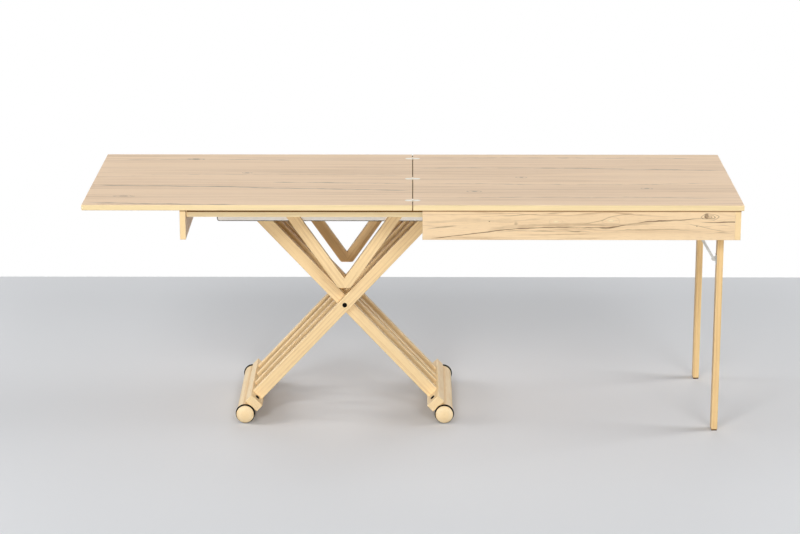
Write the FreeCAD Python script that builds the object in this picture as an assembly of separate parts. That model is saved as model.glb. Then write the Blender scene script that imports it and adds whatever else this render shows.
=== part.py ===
"""Coffee table that lifts to dining height and opens to twice its length.

Two equal leaves are hinged edge to edge on top. The right leaf is fixed to an apron box that slides
out over a rail frame, and the left leaf then unfolds onto the rails. A wooden scissor base lifts the
rail frame, and a pair of folding legs carries the far end of the apron box.

Frame: millimetres, +Z up, +X along the open table, origin on the floor under the seam of the leaves.
The part is drawn open at dining height.
"""
import FreeCAD, Part
import math
import os

V = FreeCAD.Vector
UP_Y = V(0, 1, 0)

# Leaves
TABLE_HEIGHT = 750.0
LEAF_LENGTH = 1015.0
LEAF_WIDTH = 700.0
LEAF_THICKNESS = 18.0
LEAF_EDGE_ROUND = 2.5
LEAF_CORNER_ROUND = 4.0
SEAM_GAP = 3.0
SEAM_EDGE_ROUND = 1.0
SEAM_STRIP_DROP = 3.5
SEAM_STRIP_RISE = 1.0
SEAM_STRIP_INSET = 2.0
SEAM_STRIP_GAP = 0.1

# Flap hinges let into the top at the seam
HINGE_SPACING = 288.0
HINGE_WIDTH = 20.0
HINGE_HALF_LENGTH = 24.0
HINGE_PLATE_THICKNESS = 2.4
HINGE_AXIS_RISE = 0.4
KNUCKLE_RADIUS = 2.4
KNUCKLE_CENTRE_SHARE = 0.46
HINGE_PIN_RADIUS = 1.3
HINGE_INLAY_GAP = 0.15
KNUCKLE_GAP = 0.35

# Boards of the apron box and the end panel
BOARD_THICKNESS = 18.0
BOARD_EDGE_ROUND = 1.5
APRON_HEIGHT = 94.0
LEAF_OVERHANG = 8.0
PANEL_GAP = 4.0
SLIDE_TRAVEL = 723.0

# Rail frame
RAIL_HEIGHT = 29.0
RAIL_THICKNESS = 22.0
RAIL_END_GAP = 8.0
RAIL_EDGE_ROUND = 1.5
FELT_THICKNESS = 1.6
FELT_WIDTH = 14.0
LEAF_RUN_GAP = 0.4
CROSS_RAIL_WIDTH = 60.0
END_CROSS_RAIL_WIDTH = 30.0

# Slide tracks and their glide blocks
TRACK_SPACE = 18.0
TRACK_DEPTH = 15.0
TRACK_HEIGHT = 26.0
TRACK_WALL = 1.5
TRACK_END_SETBACK = 10.0
GLIDE_BLOCK_LENGTH = 70.0
GLIDE_BLOCK_PITCH = 130.0
GLIDE_BLOCK_END_GAP = 8.0
GLIDE_GAP = 0.5

# Guide plates with slots for the top shafts
PLATE_THICKNESS = 3.0
PLATE_HEIGHT = 52.0
PLATE_FLANGE = 20.0
PLATE_CORNER_ROUND = 5.0
PLATE_END_WALL = 10.0
PLATE_ARM_GAP = 2.0
SLOT_DROP = 25.0
SLOT_GAP = 0.3
SLOT_END_GAP = 0.8

# Scissor base
ARM_ANGLE = 47.0
FOLD_ANGLE = 22.2
ARM_UPPER = 417.0
ARM_WIDTH = 38.5
ARM_THICKNESS = 22.0
ARM_EDGE_ROUND = 2.0
ARM_PAIR_GAP = 2.0
OUTER_PAIR_FACE = 142.0
INNER_PAIR_FACE = 58.0
WASHER_RADIUS = 12.0
WASHER_SIDE_GAP = 0.2
SPACER_RADIUS = 10.0
SHAFT_RADIUS = 6.0
FIT_GAP = 0.05
BUSH_RADIUS = 9.0
BUSH_LENGTH = 6.0
CLIP_THICKNESS = 2.0
CLIP_GAP = 0.2
SHAFT_END = 3.0
CAP_RADIUS = 7.5
CAP_HEIGHT = 2.6
CAP_ROUND_SHARE = 0.6

# Feet
FOOT_RADIUS = 27.5
FOOT_HALF_LENGTH = 230.0
FOOT_DOME = 9.0
RING_OUTER_RADIUS = 31.0
RING_SECTION_RADIUS = 5.0
RING_END_DISTANCE = 19.0
RING_GROOVE_GAP = 0.1
PLANK_WIDTH = 50.0
PLANK_THICKNESS = 28.0
PLANK_EDGE_ROUND = 2.0
PLANK_REACH = 56.0
SEAT_DISTANCE = 25.5
FOOT_BOLT_REACH = 24.0
FOOT_BOLT_RADIUS = 4.0
FOOT_BOLT_DEPTH = 20.0

# V braces under the rail frame
V_ANGLE = 55.0
V_WIDTH = 34.5
V_THICKNESS = 20.0
V_DROP = 267.0
V_FOOT_HALF_WIDTH = 19.5
V_EDGE_ROUND = 1.5
V_CORNER_ROUND = 9.0

# Folding legs
LEG_DEPTH = 36.0
LEG_THICKNESS = 20.0
LEG_EDGE_ROUND = 3.0
LEG_END_DISTANCE = 53.0
LEG_SIDE_GAP = 4.0
LEG_HINGE_DROP = 64.0
LEG_FACE_INSET = 67.0
LEG_PIN_RADIUS = 5.0
LEG_PIN_HEAD_RADIUS = 8.0
LEG_PIN_HEAD = 3.5
LEG_PIN_DEPTH = 26.0
LEG_COLLAR_GAP = 0.3
LEG_GLIDE_HEIGHT = 5.0
LEG_GLIDE_INSET = 1.5
LEG_GLIDE_ROUND = 1.5
LEG_BAR_RADIUS = 10.0
LEG_BAR_DROP = 26.0
BATTEN_HEIGHT = 46.0
BATTEN_RAIL_GAP = 3.0
BATTEN_LENGTH = 330.0

# Braces of the folding legs
BRACE_DROP = 110.0
BRACE_STANDOFF = 18.0
BRACE_SLOT_RISE = 22.0
BRACE_LEAN = 59.4
BRACE_WIDTH = 8.0
BRACE_THICKNESS = 4.0
BRACE_PIN_RADIUS = 2.5
BRACE_HEAD_RADIUS = 3.5
BRACE_PIN_REACH = 7.0
BRACE_GROOVE_DEPTH = 9.0
BRACE_GROOVE_DIP = 10.5
BRACE_GROOVE_GAP = 0.4
BRACKET_HEIGHT = 30.0
BRACKET_WIDTH = 24.0
BRACKET_THICKNESS = 2.0
BRACKET_TAB_RADIUS = 7.0
BRACKET_TAB_GAP = 0.5

# Screws
SCREW_HEAD_RADIUS = 4.0
SCREW_HEAD_HEIGHT = 2.0
SCREW_SHANK_RADIUS = 2.0
SCREW_LENGTH = 16.0
PANEL_SCREW_LENGTH = 45.0
PANEL_SCREW_PITCH = 15.0

# Levels and planes worked out from the sizes above
leaf_under = TABLE_HEIGHT - LEAF_THICKNESS
apron_bottom = leaf_under - APRON_HEIGHT
half_width = LEAF_WIDTH / 2
apron_face = half_width - LEAF_OVERHANG
apron_back = apron_face - BOARD_THICKNESS
apron_start = LEAF_OVERHANG + BOARD_THICKNESS + PANEL_GAP
apron_end = LEAF_LENGTH - LEAF_OVERHANG
felt_top = leaf_under - LEAF_RUN_GAP
rail_top = felt_top - FELT_THICKNESS
rail_bottom = rail_top - RAIL_HEIGHT
rail_face = apron_back - TRACK_SPACE
rail_back = rail_face - RAIL_THICKNESS
panel_outer = LEAF_OVERHANG - SLIDE_TRAVEL
panel_inner = panel_outer + BOARD_THICKNESS
rail_end = apron_end - BOARD_THICKNESS - SLIDE_TRAVEL - RAIL_END_GAP
base_x = LEAF_LENGTH / 2 - SLIDE_TRAVEL

# Scissor geometry: the feet stand on their rings, and the top shafts share one height
slot_z = rail_bottom - SLOT_DROP
arm_rise = math.sin(math.radians(ARM_ANGLE))
pivot_z = slot_z - ARM_UPPER * arm_rise
arm_lower = (pivot_z - RING_OUTER_RADIUS) / arm_rise
spread_up = ARM_UPPER * math.cos(math.radians(ARM_ANGLE))
spread_down = ARM_UPPER * math.cos(math.radians(ARM_ANGLE - FOLD_ANGLE))
slot_radius = BUSH_RADIUS + SLOT_GAP
slot_inner = spread_up - SLOT_END_GAP
slot_outer = spread_down + SLOT_END_GAP
plate_half_length = slot_outer + slot_radius + PLATE_END_WALL
plate_near = OUTER_PAIR_FACE + PLATE_ARM_GAP
plate_far = plate_near + PLATE_THICKNESS
plate_bottom = rail_bottom - PLATE_HEIGHT
v_far = plate_far + V_THICKNESS
plank_half_length = OUTER_PAIR_FACE + PLANK_REACH
plank_top = arm_lower - SEAT_DISTANCE - PLANK_THICKNESS

# Folding legs: they stand inside the apron box, and their pins sit in the battens
leg_x = apron_end - LEG_END_DISTANCE
leg_hinge_z = leaf_under - LEG_HINGE_DROP
leg_far = half_width - LEG_FACE_INSET
leg_near = leg_far - LEG_DEPTH
leg_left = leg_x - LEG_THICKNESS / 2
batten_face = leg_far + LEG_SIDE_GAP
batten_top = rail_bottom - BATTEN_RAIL_GAP
batten_bottom = batten_top - BATTEN_HEIGHT
batten_end = apron_end - BOARD_THICKNESS
brace_x = leg_x - BRACE_STANDOFF
brace_z = leg_hinge_z - BRACE_DROP
brace_slot_z = leg_hinge_z + BRACE_SLOT_RISE
brace_length = (brace_slot_z - brace_z) / math.sin(math.radians(BRACE_LEAN))
brace_slot_x = brace_x - brace_length * math.cos(math.radians(BRACE_LEAN))
brace_mid = (leg_near + leg_far) / 2
brace_near = brace_mid - BRACE_THICKNESS / 2
brace_far = brace_mid + BRACE_THICKNESS / 2


def box(x0, x1, y0, y1, z0, z1):
    """A box between two corners."""
    return Part.makeBox(x1 - x0, y1 - y0, z1 - z0, V(x0, y0, z0))


def rounded_box(x0, x1, y0, y1, z0, z1, radius):
    """A box with every edge eased."""
    solid = box(x0, x1, y0, y1, z0, z1)
    return solid.makeFillet(radius, solid.Edges)


def rod(radius, x, z, y0, y1):
    """A round bar along Y."""
    return Part.makeCylinder(radius, y1 - y0, V(x, y0, z), UP_Y)


def tube(outer, inner, x, z, y0, y1):
    """A round sleeve along Y."""
    return rod(outer, x, z, y0, y1).cut(rod(inner, x, z, y0 - 1, y1 + 1))


def prism(points, y0, y1):
    """A straight-sided outline in X and Z, given as (x, z) points, carried along Y."""
    corners = [V(x, y0, z) for x, z in points]
    face = Part.Face(Part.makePolygon(corners + corners[:1]))
    return face.extrude(V(0, y1 - y0, 0))


def mirror_y(shape):
    """The same piece on the rear side of the table."""
    return shape.mirror(V(0, 0, 0), UP_Y)


def both_sides(shape):
    """A front piece and its rear twin, as one group."""
    return Part.makeCompound([shape, mirror_y(shape)])


def dome_cap(radius, height, shank_radius, shank):
    """A low round cap on +Z with a shank below it."""
    cap = Part.makeCylinder(radius, height)
    cap = cap.makeFillet(height * CAP_ROUND_SHARE, [e for e in cap.Edges if e.BoundBox.ZMin > height / 2])
    return cap.fuse(Part.makeCylinder(shank_radius, shank, V(0, 0, -shank))).removeSplitter()


def save(name, shape):
    """Write one named piece."""
    shape.exportStep("parts/" + name + ".step")


def hinge_rows():
    """Y positions of the flap hinges along the seam."""
    return [-HINGE_SPACING, 0.0, HINGE_SPACING]


hinge_z = TABLE_HEIGHT + HINGE_AXIS_RISE
knuckle_half = HINGE_WIDTH * KNUCKLE_CENTRE_SHARE / 2


def hinge_outline(grow, depth):
    """Right half of a hinge plate seen from above: straight sides and a round outer end."""
    half = HINGE_WIDTH / 2 + grow
    centre = HINGE_HALF_LENGTH - HINGE_WIDTH / 2
    top = TABLE_HEIGHT
    plate = box(SEAM_GAP / 2, centre, -half, half, top - depth, top)
    end = Part.makeCylinder(half, depth, V(centre, 0, top - depth))
    return plate.fuse(end).removeSplitter()


def hinge_half(spans, gaps):
    """One hinge plate, drawn on the right, with knuckles on the given Y spans and room on the others."""
    half = hinge_outline(0.0, HINGE_PLATE_THICKNESS)
    for y0, y1 in gaps:
        half = half.cut(rod(KNUCKLE_RADIUS + KNUCKLE_GAP, 0, hinge_z, y0 - KNUCKLE_GAP, y1 + KNUCKLE_GAP))
    for y0, y1 in spans:
        half = half.fuse(rod(KNUCKLE_RADIUS, 0, hinge_z, y0, y1))
    bore = rod(HINGE_PIN_RADIUS + FIT_GAP, 0, hinge_z, -HINGE_WIDTH, HINGE_WIDTH)
    return half.cut(bore).removeSplitter()


def hinge_spans():
    """Y spans of the outer knuckles and of the centre knuckle, with room between them."""
    outer = knuckle_half + KNUCKLE_GAP
    return [(-HINGE_WIDTH / 2, -outer), (outer, HINGE_WIDTH / 2)], [(-knuckle_half, knuckle_half)]


def leaf():
    """The right leaf: eased edges, and inlays for the hinge plates along its seam edge."""
    x0 = SEAM_GAP / 2
    board = box(x0, LEAF_LENGTH, -half_width, half_width, leaf_under, TABLE_HEIGHT)
    corners = [e for e in board.Edges if e.BoundBox.ZLength > 1 and e.BoundBox.XMin > x0 + 1]
    board = board.makeFillet(LEAF_CORNER_ROUND, corners)
    rims = [e for e in board.Edges if e.BoundBox.ZLength < 1e-3 and e.BoundBox.XMax > x0 + 1]
    board = board.makeFillet(LEAF_EDGE_ROUND, rims)
    seam = [e for e in board.Edges if e.BoundBox.XMax < x0 + 1e-3 and e.BoundBox.YLength > half_width]
    board = board.makeFillet(SEAM_EDGE_ROUND, seam)
    for y in hinge_rows():
        inlay = hinge_outline(HINGE_INLAY_GAP, HINGE_PLATE_THICKNESS + HINGE_INLAY_GAP)
        reach = HINGE_WIDTH / 2 + KNUCKLE_GAP
        room = rod(KNUCKLE_RADIUS + KNUCKLE_GAP, 0, hinge_z, -reach, reach)
        for tool in (inlay, room):
            board = board.cut(tool.translated(V(0, y, 0)))
    return board


def mirror_x(shape):
    """The same piece on the other side of the seam."""
    return shape.mirror(V(0, 0, 0), V(1, 0, 0))


def at_hinges(shape):
    """A hinge piece repeated at each hinge of the seam."""
    return Part.makeCompound([shape.translated(V(0, y, 0)) for y in hinge_rows()])


def seam_strip():
    """A dark strip on the right leaf's seam edge that closes the seam under the hinges."""
    end = half_width - SEAM_STRIP_INSET
    return box(-SEAM_GAP / 2 + SEAM_STRIP_GAP, SEAM_GAP / 2, -end, end, leaf_under + SEAM_STRIP_RISE,
               TABLE_HEIGHT - SEAM_STRIP_DROP)


def leaves_and_hinges():
    """Both leaves, the strip in their seam, the inlaid hinge plates and the hinge pins."""
    outer, centre = hinge_spans()
    save("right_leaf", leaf())
    save("left_leaf", mirror_x(leaf()))
    save("seam_strip", seam_strip())
    save("hinge_plates_right", at_hinges(hinge_half(outer, centre)))
    save("hinge_plates_left", at_hinges(mirror_x(hinge_half(centre, outer))))
    save("hinge_pins", at_hinges(rod(HINGE_PIN_RADIUS, 0, hinge_z, -HINGE_WIDTH / 2, HINGE_WIDTH / 2)))


def apron_box():
    """Two long aprons under the right leaf, and an end apron across their far ends."""
    front = rounded_box(apron_start, apron_end - BOARD_THICKNESS, -apron_face, -apron_back, apron_bottom,
                        leaf_under, BOARD_EDGE_ROUND)
    save("front_apron", front)
    save("rear_apron", mirror_y(front))
    save("end_apron", rounded_box(apron_end - BOARD_THICKNESS, apron_end, -apron_face, apron_face,
                                  apron_bottom, leaf_under, BOARD_EDGE_ROUND))


def slide_track():
    """A sideways U channel on the inside of the front apron."""
    x0 = apron_start + TRACK_END_SETBACK
    x1 = apron_end - BOARD_THICKNESS - TRACK_END_SETBACK
    mid = (rail_bottom + rail_top) / 2
    low = mid - TRACK_HEIGHT / 2
    high = mid + TRACK_HEIGHT / 2
    inside = -apron_back + TRACK_DEPTH
    channel = box(x0, x1, -apron_back, inside, low, high)
    hollow = box(x0 - 1, x1 + 1, -apron_back + TRACK_WALL, inside + 1, low + TRACK_WALL, high - TRACK_WALL)
    return channel.cut(hollow)


def glide_blocks():
    """Two blocks on the front rail's outer face that run in the track."""
    mid = (rail_bottom + rail_top) / 2
    half = TRACK_HEIGHT / 2 - TRACK_WALL - GLIDE_GAP
    outer = -apron_back + TRACK_WALL + GLIDE_GAP
    blocks = []
    for index in range(2):
        x1 = rail_end - GLIDE_BLOCK_END_GAP - index * GLIDE_BLOCK_PITCH
        blocks.append(box(x1 - GLIDE_BLOCK_LENGTH, x1, outer, -rail_face, mid - half, mid + half))
    return Part.makeCompound(blocks)


def tracks():
    """The slide tracks of the apron box and the glide blocks of the rails."""
    save("front_slide_track", slide_track())
    save("rear_slide_track", mirror_y(slide_track()))
    front = glide_blocks()
    save("track_glide_blocks", Part.makeCompound(front.Solids + mirror_y(front).Solids))


v_slope = math.tan(math.radians(V_ANGLE))
v_run = V_WIDTH / math.sin(math.radians(V_ANGLE))
v_top_outer = V_FOOT_HALF_WIDTH + V_DROP / v_slope
v_top_inner = v_top_outer - v_run
cross_rail_x = (v_top_outer + v_top_inner) / 2


def cross_rail_screws():
    """Places of the screws that hold the guide plates' flanges: (x, y)."""
    y = plate_near - PLATE_FLANGE / 2
    offset = CROSS_RAIL_WIDTH / 4
    rows = []
    for side in (-1, 1):
        for step in (-1, 1):
            x = base_x + side * cross_rail_x + step * offset
            rows += [(x, -y), (x, y)]
    return rows


def plate_screw(x, y):
    """A pan-head screw up through a guide plate's flange into a cross rail."""
    flange_under = rail_bottom - PLATE_THICKNESS
    head = Part.makeCylinder(SCREW_HEAD_RADIUS, SCREW_HEAD_HEIGHT, V(x, y, flange_under - SCREW_HEAD_HEIGHT))
    return head.fuse(Part.makeCylinder(SCREW_SHANK_RADIUS, SCREW_LENGTH, V(x, y, flange_under)))


def screw_hole(x, y):
    """The hole that a plate screw passes through, in the flange and in the cross rail."""
    return Part.makeCylinder(SCREW_SHANK_RADIUS + FIT_GAP, SCREW_LENGTH + PLATE_THICKNESS,
                             V(x, y, rail_bottom - 2 * PLATE_THICKNESS))


def panel_screw_rows():
    """Places of the screws that hold the end panel to the rails: (y, z)."""
    mid = (rail_bottom + rail_top) / 2
    y = (rail_face + rail_back) / 2
    return [(side * y, mid + step * PANEL_SCREW_PITCH / 2) for side in (-1, 1) for step in (-1, 1)]


def panel_screw(y, z, grow):
    """A flush screw from the outside of the end panel into a rail's end."""
    along = V(1, 0, 0)
    head = Part.makeCylinder(SCREW_HEAD_RADIUS + grow, SCREW_HEAD_HEIGHT, V(panel_outer, y, z), along)
    shank = Part.makeCylinder(SCREW_SHANK_RADIUS + grow, PANEL_SCREW_LENGTH, V(panel_outer, y, z), along)
    return head.fuse(shank)


def rail_frame():
    """Two rails, three cross rails, the end panel, felt strips and screws."""
    panel_holes = Part.makeCompound([panel_screw(y, z, FIT_GAP) for y, z in panel_screw_rows()])
    plate_holes = Part.makeCompound([screw_hole(x, y) for x, y in cross_rail_screws()])
    rail = rounded_box(panel_inner, rail_end, -rail_face, -rail_back, rail_bottom, rail_top,
                       RAIL_EDGE_ROUND)
    save("front_rail", rail.cut(panel_holes))
    save("rear_rail", mirror_y(rail).cut(panel_holes))
    for name, side in (("left_cross_rail", -1), ("right_cross_rail", 1)):
        x = base_x + side * cross_rail_x
        board = box(x - CROSS_RAIL_WIDTH / 2, x + CROSS_RAIL_WIDTH / 2, -rail_back, rail_back,
                    rail_bottom, rail_top)
        save(name, board.cut(plate_holes))
    save("end_cross_rail", box(rail_end - END_CROSS_RAIL_WIDTH, rail_end, -rail_back, rail_back,
                               rail_bottom, rail_top))
    panel = rounded_box(panel_outer, panel_inner, -apron_face, apron_face, apron_bottom, felt_top,
                        BOARD_EDGE_ROUND)
    save("end_panel", panel.cut(panel_holes))
    mid = (rail_face + rail_back) / 2
    felt = box(panel_inner, rail_end, -mid - FELT_WIDTH / 2, -mid + FELT_WIDTH / 2, rail_top, felt_top)
    save("leaf_felt_strips", both_sides(felt))
    screws = [plate_screw(x, y) for x, y in cross_rail_screws()]
    screws += [panel_screw(y, z, 0.0) for y, z in panel_screw_rows()]
    save("frame_screws", Part.makeCompound(screws))


def slot(side):
    """A long hole for a top shaft's bush in a guide plate."""
    y0 = -plate_far - 1
    y1 = -plate_near + 1
    near = base_x + side * slot_inner
    far = base_x + side * slot_outer
    low = min(near, far)
    high = max(near, far)
    middle = box(low, high, y0, y1, slot_z - slot_radius, slot_z + slot_radius)
    return middle.fuse([rod(slot_radius, low, slot_z, y0, y1), rod(slot_radius, high, slot_z, y0, y1)])


def guide_plates():
    """Folded steel plates under the cross rails, with a slot for each top shaft."""
    x0 = base_x - plate_half_length
    x1 = base_x + plate_half_length
    web = box(x0, x1, -plate_far, -plate_near, plate_bottom, rail_bottom)
    lower = [e for e in web.Edges if e.BoundBox.YLength > 1 and e.BoundBox.ZMax < plate_bottom + 1]
    web = web.makeFillet(PLATE_CORNER_ROUND, lower)
    flange = box(x0, x1, -plate_near, -plate_near + PLATE_FLANGE, rail_bottom - PLATE_THICKNESS, rail_bottom)
    plate = web.fuse(flange).removeSplitter().cut(slot(-1)).cut(slot(1))
    plate = plate.cut(Part.makeCompound([screw_hole(x, y) for x, y in cross_rail_screws()]))
    save("front_guide_plate", plate)
    save("rear_guide_plate", mirror_y(plate))


def v_arm():
    """The right arm of the front V brace, cut plumb at the middle and level under its cross rail."""
    low = rail_bottom - V_DROP
    apex = rail_bottom - v_top_inner * v_slope
    outline = [(0, low), (V_FOOT_HALF_WIDTH, low), (v_top_outer, rail_bottom),
               (v_top_inner, rail_bottom), (0, apex)]
    arm = prism(outline, -v_far, -plate_far)
    corner = [e for e in arm.Edges if e.BoundBox.YLength > 1 and e.BoundBox.XMin > 1
              and e.BoundBox.ZMax < low + 1]
    arm = arm.makeFillet(V_CORNER_ROUND, corner)
    eased = [e for e in arm.Edges if e.BoundBox.YLength < 1e-3 and e.BoundBox.XMax > 1
             and e.BoundBox.ZMin < rail_bottom - 1]
    return arm.makeFillet(V_EDGE_ROUND, eased)


def v_braces():
    """A front and a rear V, each of two arms joined at a plumb mitre."""
    right = v_arm()
    for side, arm in (("right", right), ("left", mirror_x(right))):
        arm = arm.translated(V(base_x, 0, 0))
        save("v_brace_front_" + side, arm)
        save("v_brace_rear_" + side, mirror_y(arm))


def place_on_arm(shape, side):
    """Turn a piece drawn along +X from the pivot onto a scissor arm: side -1 runs down to the left."""
    angle = ARM_ANGLE if side > 0 else 180.0 - ARM_ANGLE
    placed = shape.copy()
    placed.rotate(V(0, 0, 0), UP_Y, angle)
    return placed.translated(V(base_x, 0, pivot_z))


def arm(y0, y1):
    """A scissor arm along +X: round at its top shaft, cut square on its foot plank, bored twice."""
    half = ARM_WIDTH / 2
    a = V(-ARM_UPPER, y0, half)
    b = V(plank_top, y0, half)
    c = V(plank_top, y0, -half)
    d = V(-ARM_UPPER, y0, -half)
    top = V(-ARM_UPPER - half, y0, 0)
    edges = [Part.LineSegment(a, b).toShape(), Part.LineSegment(b, c).toShape(),
             Part.LineSegment(c, d).toShape(), Part.Arc(d, top, a).toShape()]
    body = Part.Face(Part.Wire(edges)).extrude(V(0, y1 - y0, 0))
    eased = [e for e in body.Edges if e.BoundBox.YLength < 1e-3 and e.BoundBox.XLength > 1e-3]
    body = body.makeFillet(ARM_EDGE_ROUND, eased)
    for x in (-ARM_UPPER, 0.0):
        body = body.cut(rod(SHAFT_RADIUS + FIT_GAP, x, 0, y0 - 1, y1 + 1))
    return body


def arm_layers():
    """Y spans of the front arms: in each pair one arm runs left and one runs right."""
    second = ARM_THICKNESS + ARM_PAIR_GAP
    outer = -OUTER_PAIR_FACE
    inner = -INNER_PAIR_FACE
    return {
        "left_outer": (outer, outer + ARM_THICKNESS),
        "right_outer": (outer + second, outer + second + ARM_THICKNESS),
        "left_inner": (inner, inner + ARM_THICKNESS),
        "right_inner": (inner + second, inner + second + ARM_THICKNESS),
    }


def arms():
    """Eight arms in four pairs, mirrored front to rear."""
    for name, (y0, y1) in arm_layers().items():
        direction, row = name.split("_")
        side = -1 if direction == "left" else 1
        front = place_on_arm(arm(y0, y1), side)
        save("arm_%s_front_%s" % (direction, row), front)
        save("arm_%s_rear_%s" % (direction, row), mirror_y(front))


def pivot():
    """The middle shaft through all the arms, with its caps, washers and spacer sleeves."""
    layers = arm_layers()
    end = OUTER_PAIR_FACE
    save("pivot_shaft", rod(SHAFT_RADIUS, base_x, pivot_z, -end, end))
    cap = Part.makeCylinder(CAP_RADIUS, CAP_HEIGHT)
    rim = [e for e in cap.Edges if e.BoundBox.ZMin > CAP_HEIGHT / 2]
    cap = cap.makeFillet(CAP_HEIGHT * CAP_ROUND_SHARE, rim)
    cap.rotate(V(0, 0, 0), V(1, 0, 0), 90)
    save("pivot_caps", both_sides(cap.translated(V(base_x, -end, pivot_z))))
    bore = SHAFT_RADIUS + FIT_GAP
    washers = []
    for first in ("left_outer", "left_inner"):
        y0 = layers[first][1]
        y1 = y0 + ARM_PAIR_GAP - WASHER_SIDE_GAP
        washers.append(tube(WASHER_RADIUS, bore, base_x, pivot_z, y0, y1))
    save("pivot_washers", Part.makeCompound(washers + [mirror_y(w) for w in washers]))
    y0 = layers["right_outer"][1] + WASHER_SIDE_GAP
    y1 = layers["left_inner"][0]
    side = tube(SPACER_RADIUS, bore, base_x, pivot_z, y0, y1)
    reach = -layers["right_inner"][1] - WASHER_SIDE_GAP
    middle = tube(SPACER_RADIUS, bore, base_x, pivot_z, -reach, reach)
    save("pivot_spacers", Part.makeCompound([side, mirror_y(side), middle]))


def top_shafts():
    """The two top shafts, with bushes in the guide slots and retaining clips outside them."""
    bush_near = (plate_near + plate_far - BUSH_LENGTH) / 2
    bush_far = bush_near + BUSH_LENGTH
    clip_near = bush_far + CLIP_GAP
    clip_far = clip_near + CLIP_THICKNESS
    end = clip_far + SHAFT_END
    bore = SHAFT_RADIUS + FIT_GAP
    for name, side in (("left", -1), ("right", 1)):
        x = base_x + side * spread_up
        save(name + "_top_shaft", rod(SHAFT_RADIUS, x, slot_z, -end, end))
        save(name + "_slot_bushes", both_sides(tube(BUSH_RADIUS, bore, x, slot_z, -bush_far, -bush_near)))
        save(name + "_shaft_clips", both_sides(tube(BUSH_RADIUS, bore, x, slot_z, -clip_far, -clip_near)))


def foot_bolt_rows():
    """Y positions of the two bolts of a foot plank."""
    y = OUTER_PAIR_FACE + FOOT_BOLT_REACH
    return [-y, y]


def foot_bolt(y, grow):
    """A black-capped bolt through the plank into the foot, drawn along +X from the pivot."""
    shank = PLANK_THICKNESS + FOOT_BOLT_DEPTH
    bolt = dome_cap(CAP_RADIUS, CAP_HEIGHT, FOOT_BOLT_RADIUS + grow, shank + grow)
    bolt.rotate(V(0, 0, 0), UP_Y, -90)
    return bolt.translated(V(plank_top, y, 0))


def domed_roller():
    """A round bar along Y with a shallow dome on each end, turned from half its outline."""
    side = arm_lower + FOOT_RADIUS
    end = FOOT_HALF_LENGTH
    dome_radius = (FOOT_RADIUS ** 2 + FOOT_DOME ** 2) / (2 * FOOT_DOME)
    half = FOOT_RADIUS / 2
    rise = end - dome_radius + math.sqrt(dome_radius ** 2 - half ** 2)
    corner = end - FOOT_DOME
    edges = [Part.Arc(V(arm_lower, -end, 0), V(arm_lower + half, -rise, 0), V(side, -corner, 0)).toShape(),
             Part.LineSegment(V(side, -corner, 0), V(side, corner, 0)).toShape(),
             Part.Arc(V(side, corner, 0), V(arm_lower + half, rise, 0), V(arm_lower, end, 0)).toShape(),
             Part.LineSegment(V(arm_lower, end, 0), V(arm_lower, -end, 0)).toShape()]
    return Part.Face(Part.Wire(edges)).revolve(V(arm_lower, 0, 0), UP_Y, 360)


def foot_roller():
    """The round foot, with grooves for its rings and a flat for its plank."""
    body = domed_roller()
    core = RING_OUTER_RADIUS - 2 * RING_SECTION_RADIUS
    half = RING_SECTION_RADIUS + RING_GROOVE_GAP
    for y in ring_rows():
        body = body.cut(tube(FOOT_RADIUS + 1, core, arm_lower, 0, y - half, y + half))
    seat = arm_lower - SEAT_DISTANCE
    body = body.cut(box(seat - FOOT_RADIUS, seat, -plank_half_length, plank_half_length,
                        -FOOT_RADIUS, FOOT_RADIUS))
    return body.cut(Part.makeCompound([foot_bolt(y, FIT_GAP) for y in foot_bolt_rows()]))


def ring_rows():
    """Y positions of the rubber rings of a foot."""
    y = FOOT_HALF_LENGTH - RING_END_DISTANCE
    return [-y, y]


def foot_rings():
    """Rubber rings that carry the foot on the floor."""
    middle = RING_OUTER_RADIUS - RING_SECTION_RADIUS
    return [Part.makeTorus(middle, RING_SECTION_RADIUS, V(arm_lower, y, 0), UP_Y) for y in ring_rows()]


def foot_plank():
    """The square plank that ties the arms together and seats on the round foot."""
    plank = rounded_box(plank_top, plank_top + PLANK_THICKNESS, -plank_half_length, plank_half_length,
                        -PLANK_WIDTH / 2, PLANK_WIDTH / 2, PLANK_EDGE_ROUND)
    holes = [Part.makeCylinder(FOOT_BOLT_RADIUS + FIT_GAP, PLANK_THICKNESS + 2, V(plank_top - 1, y, 0),
                               V(1, 0, 0)) for y in foot_bolt_rows()]
    return plank.cut(Part.makeCompound(holes))


def feet():
    """A plank, a round foot, two rings and two bolts at the lower end of each set of arms."""
    for name, side in (("left", -1), ("right", 1)):
        save(name + "_foot_plank", place_on_arm(foot_plank(), side))
        save(name + "_foot_roller", place_on_arm(foot_roller(), side))
        save(name + "_foot_rings", place_on_arm(Part.makeCompound(foot_rings()), side))
        bolts = [foot_bolt(y, 0.0) for y in foot_bolt_rows()]
        save(name + "_foot_bolts", place_on_arm(Part.makeCompound(bolts), side))


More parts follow.
